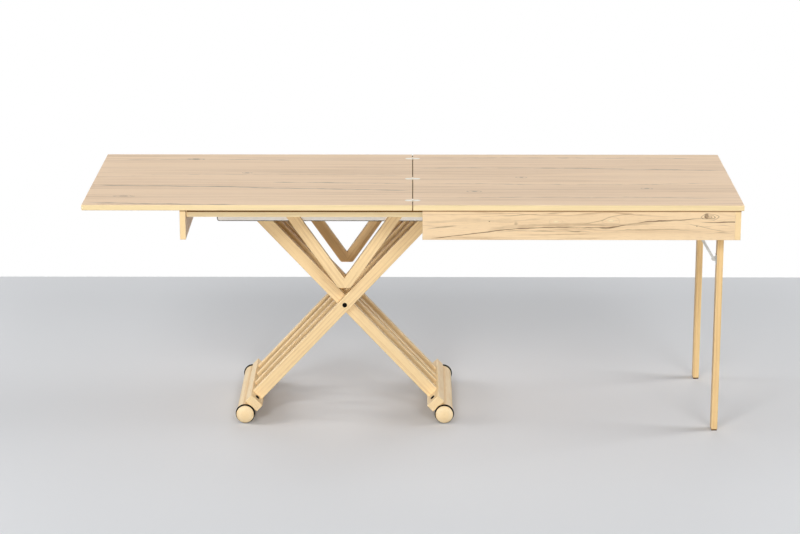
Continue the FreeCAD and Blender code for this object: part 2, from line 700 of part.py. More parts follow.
def leg():
    """The front folding leg: round over its hinge pin, with eased long edges."""
    half = LEG_THICKNESS / 2
    y0 = -leg_far
    a = V(leg_x - half, y0, LEG_GLIDE_HEIGHT)
    b = V(leg_x - half, y0, leg_hinge_z)
    top = V(leg_x, y0, leg_hinge_z + half)
    c = V(leg_x + half, y0, leg_hinge_z)
    d = V(leg_x + half, y0, LEG_GLIDE_HEIGHT)
    edges = [Part.LineSegment(a, b).toShape(), Part.Arc(b, top, c).toShape(),
             Part.LineSegment(c, d).toShape(), Part.LineSegment(d, a).toShape()]
    body = Part.Face(Part.Wire(edges)).extrude(V(0, LEG_DEPTH, 0))
    eased = [e for e in body.Edges if e.BoundBox.YLength < 1e-3 and e.BoundBox.ZLength > 1e-3]
    body = body.makeFillet(LEG_EDGE_ROUND, eased)
    return body.cut(rod(LEG_PIN_RADIUS + FIT_GAP, leg_x, leg_hinge_z, y0 - 1, -leg_near + 1))


def leg_pin():
    """The front leg's hinge pin: a head inside the leg, a collar beside the batten, a plain end."""
    inner = -leg_near + LEG_COLLAR_GAP
    collar = -leg_far - LEG_COLLAR_GAP
    pin = rod(LEG_PIN_RADIUS, leg_x, leg_hinge_z, -batten_face - LEG_PIN_DEPTH, inner + LEG_PIN_HEAD)
    head = rod(LEG_PIN_HEAD_RADIUS, leg_x, leg_hinge_z, inner, inner + LEG_PIN_HEAD)
    ring = rod(LEG_PIN_HEAD_RADIUS, leg_x, leg_hinge_z, -batten_face, collar)
    return pin.fuse([head, ring]).removeSplitter()


def brace_groove():
    """The groove in the front batten for the brace's end pin, deep enough for its dip in mid travel."""
    folded_x = leg_x - BRACE_DROP
    folded_rise = BRACE_SLOT_RISE - BRACE_STANDOFF
    far = folded_x - math.sqrt(brace_length ** 2 - folded_rise ** 2)
    room = BRACE_PIN_RADIUS + BRACE_GROOVE_GAP
    return box(far - room, brace_slot_x + room, -batten_face - BRACE_GROOVE_DEPTH, -batten_face + 1,
               brace_slot_z - BRACE_GROOVE_DIP - room, brace_slot_z + room)


def batten():
    """The batten on the inside of the front apron that carries the leg's pin and guides its brace."""
    block = box(batten_end - BATTEN_LENGTH, batten_end, -apron_back, -batten_face, batten_bottom, batten_top)
    hole = rod(LEG_PIN_RADIUS + FIT_GAP, leg_x, leg_hinge_z, -batten_face - LEG_PIN_DEPTH, -batten_face + 1)
    return block.cut(hole).cut(brace_groove())


def leg_glide():
    """The dark glide under the front leg."""
    half = LEG_THICKNESS / 2 - LEG_GLIDE_INSET
    pad = box(leg_x - half, leg_x + half, -leg_far + LEG_GLIDE_INSET, -leg_near - LEG_GLIDE_INSET,
              0, LEG_GLIDE_HEIGHT)
    upright = [e for e in pad.Edges if e.BoundBox.ZLength > 1]
    return pad.makeFillet(LEG_GLIDE_ROUND, upright)


def brace_bracket():
    """A steel tab on the leg's left face, with a rivet for the brace."""
    tab_far = -brace_far + BRACE_THICKNESS + BRACKET_TAB_GAP
    tab_near = tab_far + BRACKET_THICKNESS
    base = box(leg_left - BRACKET_THICKNESS, leg_left, -brace_mid - BRACKET_WIDTH / 2,
               -brace_mid + BRACKET_WIDTH / 2, brace_z - BRACKET_HEIGHT / 2, brace_z + BRACKET_HEIGHT / 2)
    tab = box(brace_x, leg_left - BRACKET_THICKNESS, tab_far, tab_near,
              brace_z - BRACKET_TAB_RADIUS, brace_z + BRACKET_TAB_RADIUS)
    nose = rod(BRACKET_TAB_RADIUS, brace_x, brace_z, tab_far, tab_near)
    rivet = rod(BRACE_PIN_RADIUS, brace_x, brace_z, -brace_far - BRACKET_THICKNESS, tab_near)
    head = rod(BRACE_HEAD_RADIUS, brace_x, brace_z, -brace_far - BRACKET_THICKNESS, -brace_far - CLIP_GAP)
    return base.fuse([tab, nose, rivet, head]).removeSplitter()


def brace():
    """The front brace: a flat bar from the leg's tab to its end pin in the batten's groove."""
    half = BRACE_WIDTH / 2
    bar = box(0, brace_length, -brace_far, -brace_near, -half, half)
    ends = [rod(half, 0, 0, -brace_far, -brace_near), rod(half, brace_length, 0, -brace_far, -brace_near)]
    pin = rod(BRACE_PIN_RADIUS, brace_length, 0, -batten_face - BRACE_PIN_REACH, -brace_near)
    bar = bar.fuse(ends + [pin]).removeSplitter()
    bar = bar.cut(rod(BRACE_PIN_RADIUS + FIT_GAP, 0, 0, -brace_far - 1, -brace_near + 1))
    bar.rotate(V(0, 0, 0), UP_Y, 180 + BRACE_LEAN)
    return bar.translated(V(brace_x, 0, brace_z))


def folding_legs():
    """A pair of legs joined by a bar, with pins, battens, glides, tabs and braces."""
    front = leg()
    save("front_leg", front)
    save("rear_leg", mirror_y(front))
    save("leg_bar", rod(LEG_BAR_RADIUS, leg_x, leg_hinge_z - LEG_BAR_DROP, -leg_near, leg_near))
    save("leg_glides", both_sides(leg_glide()))
    save("leg_pins", both_sides(leg_pin()))
    save("leg_battens", both_sides(batten()))
    save("brace_brackets", both_sides(brace_bracket()))
    save("leg_braces", both_sides(brace()))


os.makedirs("parts", exist_ok=True)
leaves_and_hinges()
apron_box()
tracks()
rail_frame()
guide_plates()
v_braces()
arms()
pivot()
top_shafts()
feet()
folding_legs()
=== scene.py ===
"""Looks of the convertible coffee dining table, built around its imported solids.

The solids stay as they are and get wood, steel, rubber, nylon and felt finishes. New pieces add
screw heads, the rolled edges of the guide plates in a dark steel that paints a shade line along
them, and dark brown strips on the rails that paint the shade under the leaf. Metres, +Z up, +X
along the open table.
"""
import logging
import math
from dataclasses import dataclass
from enum import Enum
from itertools import product

import bmesh
import bpy
import numpy as np
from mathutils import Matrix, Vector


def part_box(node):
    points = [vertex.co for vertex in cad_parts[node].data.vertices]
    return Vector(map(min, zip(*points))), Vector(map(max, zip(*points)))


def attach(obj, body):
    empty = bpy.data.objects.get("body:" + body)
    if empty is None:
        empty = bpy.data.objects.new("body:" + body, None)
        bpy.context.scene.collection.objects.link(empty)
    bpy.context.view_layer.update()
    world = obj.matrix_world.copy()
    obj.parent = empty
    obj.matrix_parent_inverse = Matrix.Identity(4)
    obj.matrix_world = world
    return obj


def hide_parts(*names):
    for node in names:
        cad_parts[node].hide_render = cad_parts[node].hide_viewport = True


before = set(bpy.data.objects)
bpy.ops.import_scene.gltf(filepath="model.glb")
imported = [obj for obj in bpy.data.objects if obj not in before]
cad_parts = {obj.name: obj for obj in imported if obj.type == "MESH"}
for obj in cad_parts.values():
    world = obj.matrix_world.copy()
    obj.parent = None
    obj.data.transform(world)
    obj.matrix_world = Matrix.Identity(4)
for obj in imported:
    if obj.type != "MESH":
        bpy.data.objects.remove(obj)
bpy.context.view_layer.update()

LOG = logging.getLogger("table")

Colour = tuple[float, float, float]
Place = tuple[float, float, float]
Grid = tuple[np.ndarray, np.ndarray]
Socket = bpy.types.NodeSocket
Outputs = bpy.types.bpy_prop_collection
Tree = bpy.types.NodeTree
Material = bpy.types.Material

WHITE = (1.0, 1.0, 1.0, 1.0)
UPWARD = (0.0, 0.0, 1.0)
DOWNWARD = (0.0, 0.0, -1.0)
LEFTWARD = (-1.0, 0.0, 0.0)
BACKWARD = (0.0, 1.0, 0.0)


def linear(red: int, green: int, blue: int) -> Colour:
    """Turn an sRGB colour of 0 to 255 into linear light.

    Args:
        red, green, blue: the colour as a paint chart gives it.

    Returns:
        The linear colour, 0 to 1.
    """
    chart = np.array([red, green, blue]) / 255.0
    light = np.where(chart <= 0.04045, chart / 12.92, ((chart + 0.055) / 1.055) ** 2.4)
    return tuple(float(part) for part in light)


class Sheet:
    """A node tree with short calls for the nodes that the finishes use."""

    MIX_UNDER, MIX_OVER, MIX_RESULT = 6, 7, 2

    def __init__(self, tree: Tree) -> None:
        """Work on the given tree."""
        self.tree = tree

    def add(self, kind: str, **settings: object) -> bpy.types.Node:
        """Add a node.

        Args:
            kind: the node's type name.
            settings: properties to set on it.

        Returns:
            The node.
        """
        node = self.tree.nodes.new(kind)
        for name, value in settings.items():
            setattr(node, name, value)
        return node

    def feed(self, socket: Socket, value: object) -> None:
        """Link a socket to an input, or set the input's own value."""
        if isinstance(value, bpy.types.NodeSocket):
            self.tree.links.new(value, socket)
        elif isinstance(value, tuple) and socket.type == "RGBA":
            socket.default_value = (*value, 1.0)
        else:
            socket.default_value = value

    def math(self, operation: str, first: object, second: object = 0.0,
             third: object = 0.0) -> Socket:
        """Return the result of a Math node on up to three values."""
        node = self.add("ShaderNodeMath", operation=operation)
        for socket, value in zip(node.inputs, (first, second, third)):
            self.feed(socket, value)
        return node.outputs[0]

    def times(self, first: object, second: object) -> Socket:
        """Return the product of two values."""
        return self.math("MULTIPLY", first, second)

    def plus(self, first: object, second: object) -> Socket:
        """Return the sum of two values."""
        return self.math("ADD", first, second)

    def less(self, first: object, second: object) -> Socket:
        """Return the first value less the second."""
        return self.math("SUBTRACT", first, second)

    def rest(self, value: object) -> Socket:
        """Return what a value leaves of 1."""
        return self.math("SUBTRACT", 1.0, value)

    def scaled(self, value: object, factor: object, start: object) -> Socket:
        """Return the value times the factor, plus the start."""
        return self.math("MULTIPLY_ADD", value, factor, start)

    def ease(self, value: object, low: object, high: object) -> Socket:
        """Return a smooth step of a value: 0 at low, 1 at high, clamped outside."""
        node = self.add("ShaderNodeMapRange", interpolation_type="SMOOTHSTEP")
        self.feed(node.inputs["Value"], value)
        self.feed(node.inputs["From Min"], low)
        self.feed(node.inputs["From Max"], high)
        return node.outputs["Result"]

    def split(self, vector: Socket) -> tuple[Socket, Socket, Socket]:
        """Return the three parts of a vector."""
        node = self.add("ShaderNodeSeparateXYZ")
        self.feed(node.inputs[0], vector)
        return node.outputs[0], node.outputs[1], node.outputs[2]

    def join(self, x: object, y: object, z: object) -> Socket:
        """Return a vector of three values."""
        node = self.add("ShaderNodeCombineXYZ")
        for socket, value in zip(node.inputs, (x, y, z)):
            self.feed(socket, value)
        return node.outputs[0]

    def stretch(self, vector: Socket, scale: Place) -> Socket:
        """Return a vector with each part multiplied."""
        node = self.add("ShaderNodeVectorMath", operation="MULTIPLY")
        self.feed(node.inputs[0], vector)
        node.inputs[1].default_value = scale
        return node.outputs[0]

    def noise(self, vector: Socket, scale: Place, detail: float = 2.0,
              roughness: float = 0.5) -> Socket:
        """Return cloudy noise of about 0.25 to 0.75, with its own scale along each axis."""
        node = self.add("ShaderNodeTexNoise", noise_dimensions="3D")
        self.feed(node.inputs["Vector"], self.stretch(vector, scale))
        node.inputs["Scale"].default_value = 1.0
        node.inputs["Detail"].default_value = detail
        node.inputs["Roughness"].default_value = roughness
        return node.outputs["Fac"]

    def wave(self, value: Socket, scale: float, offset: object, detail: float = 2.0) -> Socket:
        """Return noise of one value, about -0.5 to 0.5."""
        node = self.add("ShaderNodeTexNoise", noise_dimensions="1D")
        self.feed(node.inputs["W"], self.scaled(value, scale, offset))
        node.inputs["Scale"].default_value = 1.0
        node.inputs["Detail"].default_value = detail
        return self.less(node.outputs["Fac"], 0.5)

    def blend(self, amount: object, under: object, over: object) -> Socket:
        """Return one colour laid over another by an amount."""
        node = self.add("ShaderNodeMix", data_type="RGBA", blend_type="MIX", clamp_factor=True)
        self.feed(node.inputs[0], amount)
        self.feed(node.inputs[self.MIX_UNDER], under)
        self.feed(node.inputs[self.MIX_OVER], over)
        return node.outputs[self.MIX_RESULT]

    def choose(self, amount: object, first: Socket, second: Socket) -> Socket:
        """Return a mix of two shaders: the first where the amount is 0, the second where 1."""
        node = self.add("ShaderNodeMixShader")
        for socket, value in zip(node.inputs, (amount, first, second)):
            self.feed(socket, value)
        return node.outputs[0]


class NodeGroup:
    """A shader node group under construction, with named inputs and outputs."""

    KINDS = {"Colour": "NodeSocketColor", "Vector": "NodeSocketVector"}

    def __init__(self, name: str, inputs: dict[str, object], outputs: tuple[str, ...]) -> None:
        """Make the group.

        Args:
            name: the group's name.
            inputs: default value by input name; a tuple of 3 is a colour and None is a vector.
            outputs: output names, where all but Colour and Vector are single values.
        """
        self.tree = bpy.data.node_groups.new(name, "ShaderNodeTree")
        for label, value in inputs.items():
            kind = "NodeSocketFloat"
            if value is None:
                kind = "NodeSocketVector"
            elif isinstance(value, tuple):
                kind = "NodeSocketColor"
            socket = self.tree.interface.new_socket(label, in_out="INPUT", socket_type=kind)
            if value is not None:
                socket.default_value = (*value, 1.0) if isinstance(value, tuple) else value
        for label in outputs:
            kind = self.KINDS.get(label, "NodeSocketFloat")
            self.tree.interface.new_socket(label, in_out="OUTPUT", socket_type=kind)
        self.sheet = Sheet(self.tree)
        self.given = self.sheet.add("NodeGroupInput").outputs
        self.result = self.sheet.add("NodeGroupOutput").inputs

    def put(self, label: str, value: Socket) -> None:
        """Send a value to a named output."""
        self.sheet.feed(self.result[label], value)


class Effects:
    """The shared node groups, each built once.

    The noise scales are counts per metre along, across and through the grain.
    """

    MIDDLE = 0.5
    SLOW_WAVE = (1.3, 8.0, 8.0)
    QUICK_WAVE = (6.0, 50.0, 50.0)
    TONE_CLOUD = (0.9, 13.0, 13.0)
    RING_PATCH = (2.6, 21.0, 21.0)
    STREAK = (1.5, 110.0, 110.0)
    PORE = (28.0, 950.0, 950.0)
    KNOT_CLOUD = (25.0, 70.0, 70.0)
    HIGHLIGHT_WEAR_PATCH = (14.0, 60.0, 60.0)
    ROLLED_LINE = (12.0, 1500.0, 1500.0)
    SPANGLE = (60.0, 60.0, 60.0)
    BROAD_CLOUD = (40.0, 40.0, 40.0)

    def __init__(self) -> None:
        """Build every group."""
        self.grain = self.build_grain()
        self.line = self.build_line()
        self.knot = self.build_knot()
        self.faces = self.build_faces()
        self.brushed = self.build_brushed()
        self.mottle = self.build_mottle()

    def build_grain(self) -> Tree:
        """Wood grain along X: wavy rings across Y and Z, long streaks, and fine pores.

        The ring count is the distance across the grain plus slow noise, over the ring spacing. The
        dark late wood is the last part of each ring, where a second noise lets it show. Streaks and
        pores are noise drawn out along X.

        Returns:
            The node group.
        """
        group = NodeGroup("wood_grain", {
            "Vector": None, "Ring Spacing": 0.007, "Wobble": 0.02, "Rings": 0.3,
            "Early Share": 0.35, "Sparse": 0.3, "Streaks": 0.4, "Pores": 0.3, "Tone": 0.4,
            "Light": (0.8, 0.7, 0.5), "Dark": (0.4, 0.3, 0.2),
        }, ("Colour", "Height", "Roughness"))
        s, given = group.sheet, group.given
        vector = given["Vector"]
        _, across, depth = s.split(vector)
        quick_share, depth_share, wave_width = 0.18, 0.55, 2.0
        slow = s.less(s.noise(vector, self.SLOW_WAVE), self.MIDDLE)
        quick = s.less(s.noise(vector, self.QUICK_WAVE, detail=3.0), self.MIDDLE)
        shift = s.scaled(quick, quick_share, slow)
        place = s.scaled(depth, depth_share, across)
        place = s.scaled(shift, s.times(given["Wobble"], wave_width), place)
        ring = s.math("FRACT", s.math("DIVIDE", place, given["Ring Spacing"]))
        late_full, late_end, patch_edge = 0.92, 0.94, 0.25
        late = s.times(s.ease(ring, given["Early Share"], late_full),
                       s.rest(s.ease(ring, late_end, 1.0)))
        tone = s.noise(vector, self.TONE_CLOUD, detail=3.0)
        here = s.noise(vector, self.RING_PATCH)
        shows = s.ease(here, given["Sparse"], s.plus(given["Sparse"], patch_edge))
        late = s.times(late, shows)
        streak_levels, pore_levels = (0.47, 0.72), (0.56, 0.68)
        streak = s.ease(s.noise(vector, self.STREAK, detail=4.0, roughness=0.62), *streak_levels)
        pore = s.ease(s.noise(vector, self.PORE), *pore_levels)
        dark = s.times(s.less(tone, self.MIDDLE), given["Tone"])
        for mask, amount in ((late, "Rings"), (streak, "Streaks"), (pore, "Pores")):
            dark = s.scaled(mask, given[amount], dark)
        late_depth, pore_depth = -0.3, -1.0
        rough_spread, rough_base = 0.09, 0.42
        group.put("Colour", s.blend(dark, given["Light"], given["Dark"]))
        group.put("Height", s.scaled(late, late_depth, s.times(pore, pore_depth)))
        group.put("Roughness", s.scaled(s.plus(streak, pore), rough_spread, rough_base))
        return group.tree

    def build_line(self) -> Tree:
        """A dark natural line in the grain, along a path that the material gives.

        The mask is 1 where the distance across from the path is under the local width, which noise
        varies, and it fades at both ends and where the line breaks up.

        Returns:
            The node group.
        """
        group = NodeGroup("grain_line", {
            "Vector": None, "Path": 0.0, "Start": 0.0, "End": 1.0, "Width": 0.002, "Waver": 0.003,
            "Breaks": 0.5, "Seed": 0.0,
        }, ("Mask",))
        s, given = group.sheet, group.given
        along, across, _ = s.split(given["Vector"])
        seed = given["Seed"]
        long_wave, short_wave, short_share = 6.0, 24.0, 0.45
        waver = s.scaled(s.wave(along, short_wave, seed), short_share,
                         s.wave(along, long_wave, seed))
        path = s.scaled(waver, given["Waver"], given["Path"])
        away = s.math("ABSOLUTE", s.less(across, path))
        swell_wave, swell_seed, swell_spread, swell_base, thinnest = 11.0, 7.0, 2.2, 0.8, 0.18
        swell = s.scaled(s.wave(along, swell_wave, s.plus(seed, swell_seed)), swell_spread,
                         swell_base)
        width = s.times(given["Width"], s.math("MAXIMUM", swell, thinnest))
        core_share, fade = 0.25, 0.05
        mask = s.rest(s.ease(away, s.times(width, core_share), width))
        starts = s.ease(along, given["Start"], s.plus(given["Start"], fade))
        ends = s.rest(s.ease(along, s.less(given["End"], fade), given["End"]))
        break_wave, break_seed, break_levels = 17.0, 3.0, (-0.22, 0.08)
        whole = s.ease(s.wave(along, break_wave, s.plus(seed, break_seed)), *break_levels)
        whole = s.scaled(s.less(whole, 1.0), given["Breaks"], 1.0)
        group.put("Mask", s.times(s.times(mask, whole), s.times(starts, ends)))
        return group.tree

    def build_knot(self) -> Tree:
        """A knot: an oval of rings, with the grain around it pushed aside.

        The oval distance is the length of the offset from the centre, over the knot's half length
        and half height. The grain is bent by drawing the place across it towards the centre where
        that distance is low.

        Returns:
            The node group.
        """
        group = NodeGroup("grain_knot", {
            "Vector": None, "Centre Along": 0.0, "Centre Across": 0.0, "Half Length": 0.03,
            "Half Height": 0.01, "Bend": 0.7, "Ring Count": 3.0,
        }, ("Vector", "Rings", "Core"))
        s, given = group.sheet, group.given
        along, across, depth = s.split(given["Vector"])
        right = s.math("DIVIDE", s.less(along, given["Centre Along"]), given["Half Length"])
        offset = s.less(across, given["Centre Across"])
        up = s.math("DIVIDE", offset, given["Half Height"])
        square = s.scaled(right, right, s.times(up, up))
        uneven_share, reach = 0.9, -0.35
        uneven = s.less(s.noise(given["Vector"], self.KNOT_CLOUD), self.MIDDLE)
        away = s.scaled(uneven, uneven_share, s.math("SQRT", square))
        near = s.math("EXPONENT", s.times(square, reach))
        keep = s.scaled(near, s.times(given["Bend"], -1.0), 1.0)
        bent = s.scaled(offset, keep, given["Centre Across"])
        group.put("Vector", s.join(along, bent, depth))
        ring_levels, inside_levels, core_levels = (0.1, 0.9), (0.75, 1.1), (0.12, 0.55)
        turn = s.times(s.times(away, given["Ring Count"]), 2.0 * math.pi)
        rings = s.ease(s.math("SINE", turn), *ring_levels)
        inside = s.rest(s.ease(away, *inside_levels))
        group.put("Rings", s.times(rings, inside))
        group.put("Core", s.rest(s.ease(away, *core_levels)))
        return group.tree

    def build_faces(self) -> Tree:
        """Masks of a board's eased edges and end grain, from its normal with X along the grain.

        On a flat face one part of the normal is near 1, so an eased edge is where the largest part
        is less, broken into patches where the finishes paint a highlight and wear. End grain is
        where the part along the grain is near 1.

        Returns:
            The node group.
        """
        group = NodeGroup("board_faces", {"Normal": None, "Vector": None}, ("Edge", "End", "Flat"))
        s, given = group.sheet, group.given
        parts = [s.math("ABSOLUTE", part) for part in s.split(given["Normal"])]
        largest = s.math("MAXIMUM", s.math("MAXIMUM", parts[0], parts[1]), parts[2])
        edge_levels, highlight_wear_levels = (0.9, 0.995), (0.25, 0.6)
        end_levels, flat_levels = (0.75, 0.95), (0.55, 0.8)
        edge = s.rest(s.ease(largest, *edge_levels))
        highlight_and_wear = s.ease(s.noise(given["Vector"], self.HIGHLIGHT_WEAR_PATCH, detail=3.0), *highlight_wear_levels)
        group.put("Edge", s.times(edge, highlight_and_wear))
        group.put("End", s.ease(parts[0], *end_levels))
        group.put("Flat", s.ease(parts[2], *flat_levels))
        return group.tree

    def build_brushed(self) -> Tree:
        """Rolled metal: fine lines along X and cloudy spangle, as shade, height and roughness.

        Returns:
            The node group.
        """
        group = NodeGroup("rolled_metal", {
            "Vector": None, "Base": (0.7, 0.7, 0.7), "Shade": (0.5, 0.5, 0.5),
        }, ("Colour", "Height", "Roughness"))
        s, given = group.sheet, group.given
        lines = s.noise(given["Vector"], self.ROLLED_LINE, detail=3.0)
        cloud = s.noise(given["Vector"], self.SPANGLE, detail=3.0)
        cloud_levels, cloud_share, line_share = (0.35, 0.7), 0.6, 0.4
        amount = s.scaled(s.ease(cloud, *cloud_levels), cloud_share, s.times(lines, line_share))
        rough_spread, rough_base = 0.22, 0.24
        group.put("Colour", s.blend(amount, given["Base"], given["Shade"]))
        group.put("Height", lines)
        group.put("Roughness", s.scaled(amount, rough_spread, rough_base))
        return group.tree

    def build_mottle(self) -> Tree:
        """Moulded or fibrous surface: fine grit over broad clouds.

        Returns:
            The node group, which puts out shade, height and roughness.
        """
        group = NodeGroup("fine_mottle", {
            "Vector": None, "Grit": 900.0, "Base": (0.5, 0.5, 0.5), "Shade": (0.3, 0.3, 0.3),
        }, ("Colour", "Height", "Roughness"))
        s, given = group.sheet, group.given
        grit = s.add("ShaderNodeTexNoise")
        s.feed(grit.inputs["Vector"], given["Vector"])
        s.feed(grit.inputs["Scale"], given["Grit"])
        grit.inputs["Detail"].default_value = 3.0
        cloud = s.noise(given["Vector"], self.BROAD_CLOUD, detail=3.0)
        grit_levels, share = (0.35, 0.65), 0.5
        amount = s.scaled(s.ease(grit.outputs["Fac"], *grit_levels), share, s.times(cloud, share))
        rough_spread, rough_base = 0.25, 0.5
        group.put("Colour", s.blend(amount, given["Base"], given["Shade"]))
        group.put("Height", grit.outputs["Fac"])
        group.put("Roughness", s.scaled(amount, rough_spread, rough_base))
        return group.tree


class GrainRun(Enum):
    """Which way a board's grain runs: the turn, in degrees, that brings its grain onto X."""

    LENGTHWISE = (0.0, 0.0, 0.0)
    CROSSWISE = (0.0, 0.0, -90.0)
    UPRIGHT = (0.0, 90.0, 0.0)
    LEFT_ARM = (0.0, 47.0, 0.0)
    RIGHT_ARM = (0.0, -47.0, 0.0)
    RIGHT_BRACE = (0.0, 55.0, 0.0)
    LEFT_BRACE = (0.0, -55.0, 0.0)
    ON_FRONT = (-90.0, 0.0, 0.0)


class Dresser:
    """Starts a material: coordinates with X along the grain, a Principled BSDF and a bump."""

    def __init__(self, name: str, run: GrainRun, bump: float) -> None:
        """Make the material.

        Args:
            name: the material's name.
            run: which way the grain runs.
            bump: depth of the surface's relief in metres.
        """
        self.material = bpy.data.materials.new(name)
        self.material.use_nodes = True
        self.sheet = Sheet(self.material.node_tree)
        self.material.node_tree.nodes.clear()
        turn = tuple(math.radians(angle) for angle in run.value)
        coordinates = self.sheet.add("ShaderNodeTexCoord").outputs
        self.place = coordinates["Object"]
        self.vector = self.turned(self.place, turn)
        self.normal = self.turned(coordinates["Normal"], turn)
        self.shader = self.sheet.add("ShaderNodeBsdfPrincipled")
        output = self.sheet.add("ShaderNodeOutputMaterial")
        self.sheet.feed(output.inputs["Surface"], self.shader.outputs[0])
        self.bump = self.sheet.add("ShaderNodeBump")
        self.bump.inputs["Strength"].default_value = 1.0
        self.bump.inputs["Distance"].default_value = bump
        self.sheet.feed(self.shader.inputs["Normal"], self.bump.outputs[0])

    def turned(self, vector: Socket, turn: Place) -> Socket:
        """Return a vector turned so that X runs along the grain."""
        node = self.sheet.add("ShaderNodeMapping", vector_type="VECTOR")
        self.sheet.feed(node.inputs["Vector"], vector)
        node.inputs["Rotation"].default_value = turn
        return node.outputs[0]

    def use(self, tree: Tree, **values: object) -> Outputs:
        """Place a node group.

        Args:
            tree: the group.
            values: input values, with _ for a space in the input's name.

        Returns:
            The group's outputs.
        """
        node = self.sheet.add("ShaderNodeGroup")
        node.node_tree = tree
        for name, value in values.items():
            self.sheet.feed(node.inputs[name.replace("_", " ")], value)
        return node.outputs

    def surface(self, colour: Socket, roughness: Socket, height: Socket) -> None:
        """Send a colour, a roughness and a height to the shader."""
        self.sheet.feed(self.shader.inputs["Base Color"], colour)
        self.sheet.feed(self.shader.inputs["Roughness"], roughness)
        self.sheet.feed(self.bump.inputs["Height"], height)

    def set(self, **values: float) -> None:
        """Set the shader's own sockets, with _ for a space in a socket's name."""
        for name, value in values.items():
            self.shader.inputs[name.replace("_", " ")].default_value = value


@dataclass(frozen=True)
class GrainLine:
    """A dark line in a board: places along and across the grain that it passes, in metres."""

    places: tuple[tuple[float, float], ...]
    width: float = 0.002
    waver: float = 0.004
    breaks: float = 0.6
    strength: float = 0.6
    LEAST_SPAN = 1e-4

    def draw(self, dresser: Dresser, line: Tree, vector: Socket, seed: float) -> Socket:
        """Draw the line with a curve from the place along to the place across.

        Args:
            dresser: the material.
            line: the grain line group.
            vector: the board's coordinates.
            seed: where in the noise the line starts.

        Returns:
            The line's mask.
        """
        s = dresser.sheet
        start, end = self.places[0][0], self.places[-1][0]
        levels = [across for _, across in self.places]
        low, high = min(levels), max(levels)
        span = max(high - low, self.LEAST_SPAN)
        share = s.math("DIVIDE", s.less(s.split(vector)[0], start), end - start)
        curve = s.add("ShaderNodeFloatCurve")
        points = curve.mapping.curves[0].points
        ends = [((along - start) / (end - start), (across - low) / span)
                for along, across in self.places]
        points[0].location, points[1].location = ends[0], ends[-1]
        for place in ends[1:-1]:
            points.new(*place)
        curve.mapping.update()
        s.feed(curve.inputs["Value"], s.math("MAXIMUM", s.math("MINIMUM", share, 1.0), 0.0))
        path = s.scaled(curve.outputs[0], span, low)
        mask = dresser.use(line, Vector=vector, Path=path, Start=start, End=end, Width=self.width,
                           Waver=self.waver, Breaks=self.breaks, Seed=seed)["Mask"]
        return s.times(mask, self.strength)


@dataclass(frozen=True)
class Knot:
    """A knot or a pale eye: its centre along and across the grain and its half sizes, in metres."""

    along: float
    across: float
    half_length: float
    half_height: float
    bend: float = 0.7
    ring_count: float = 2.0
    rings: float = 0.6
    core: float = 0.5
    pale: bool = False


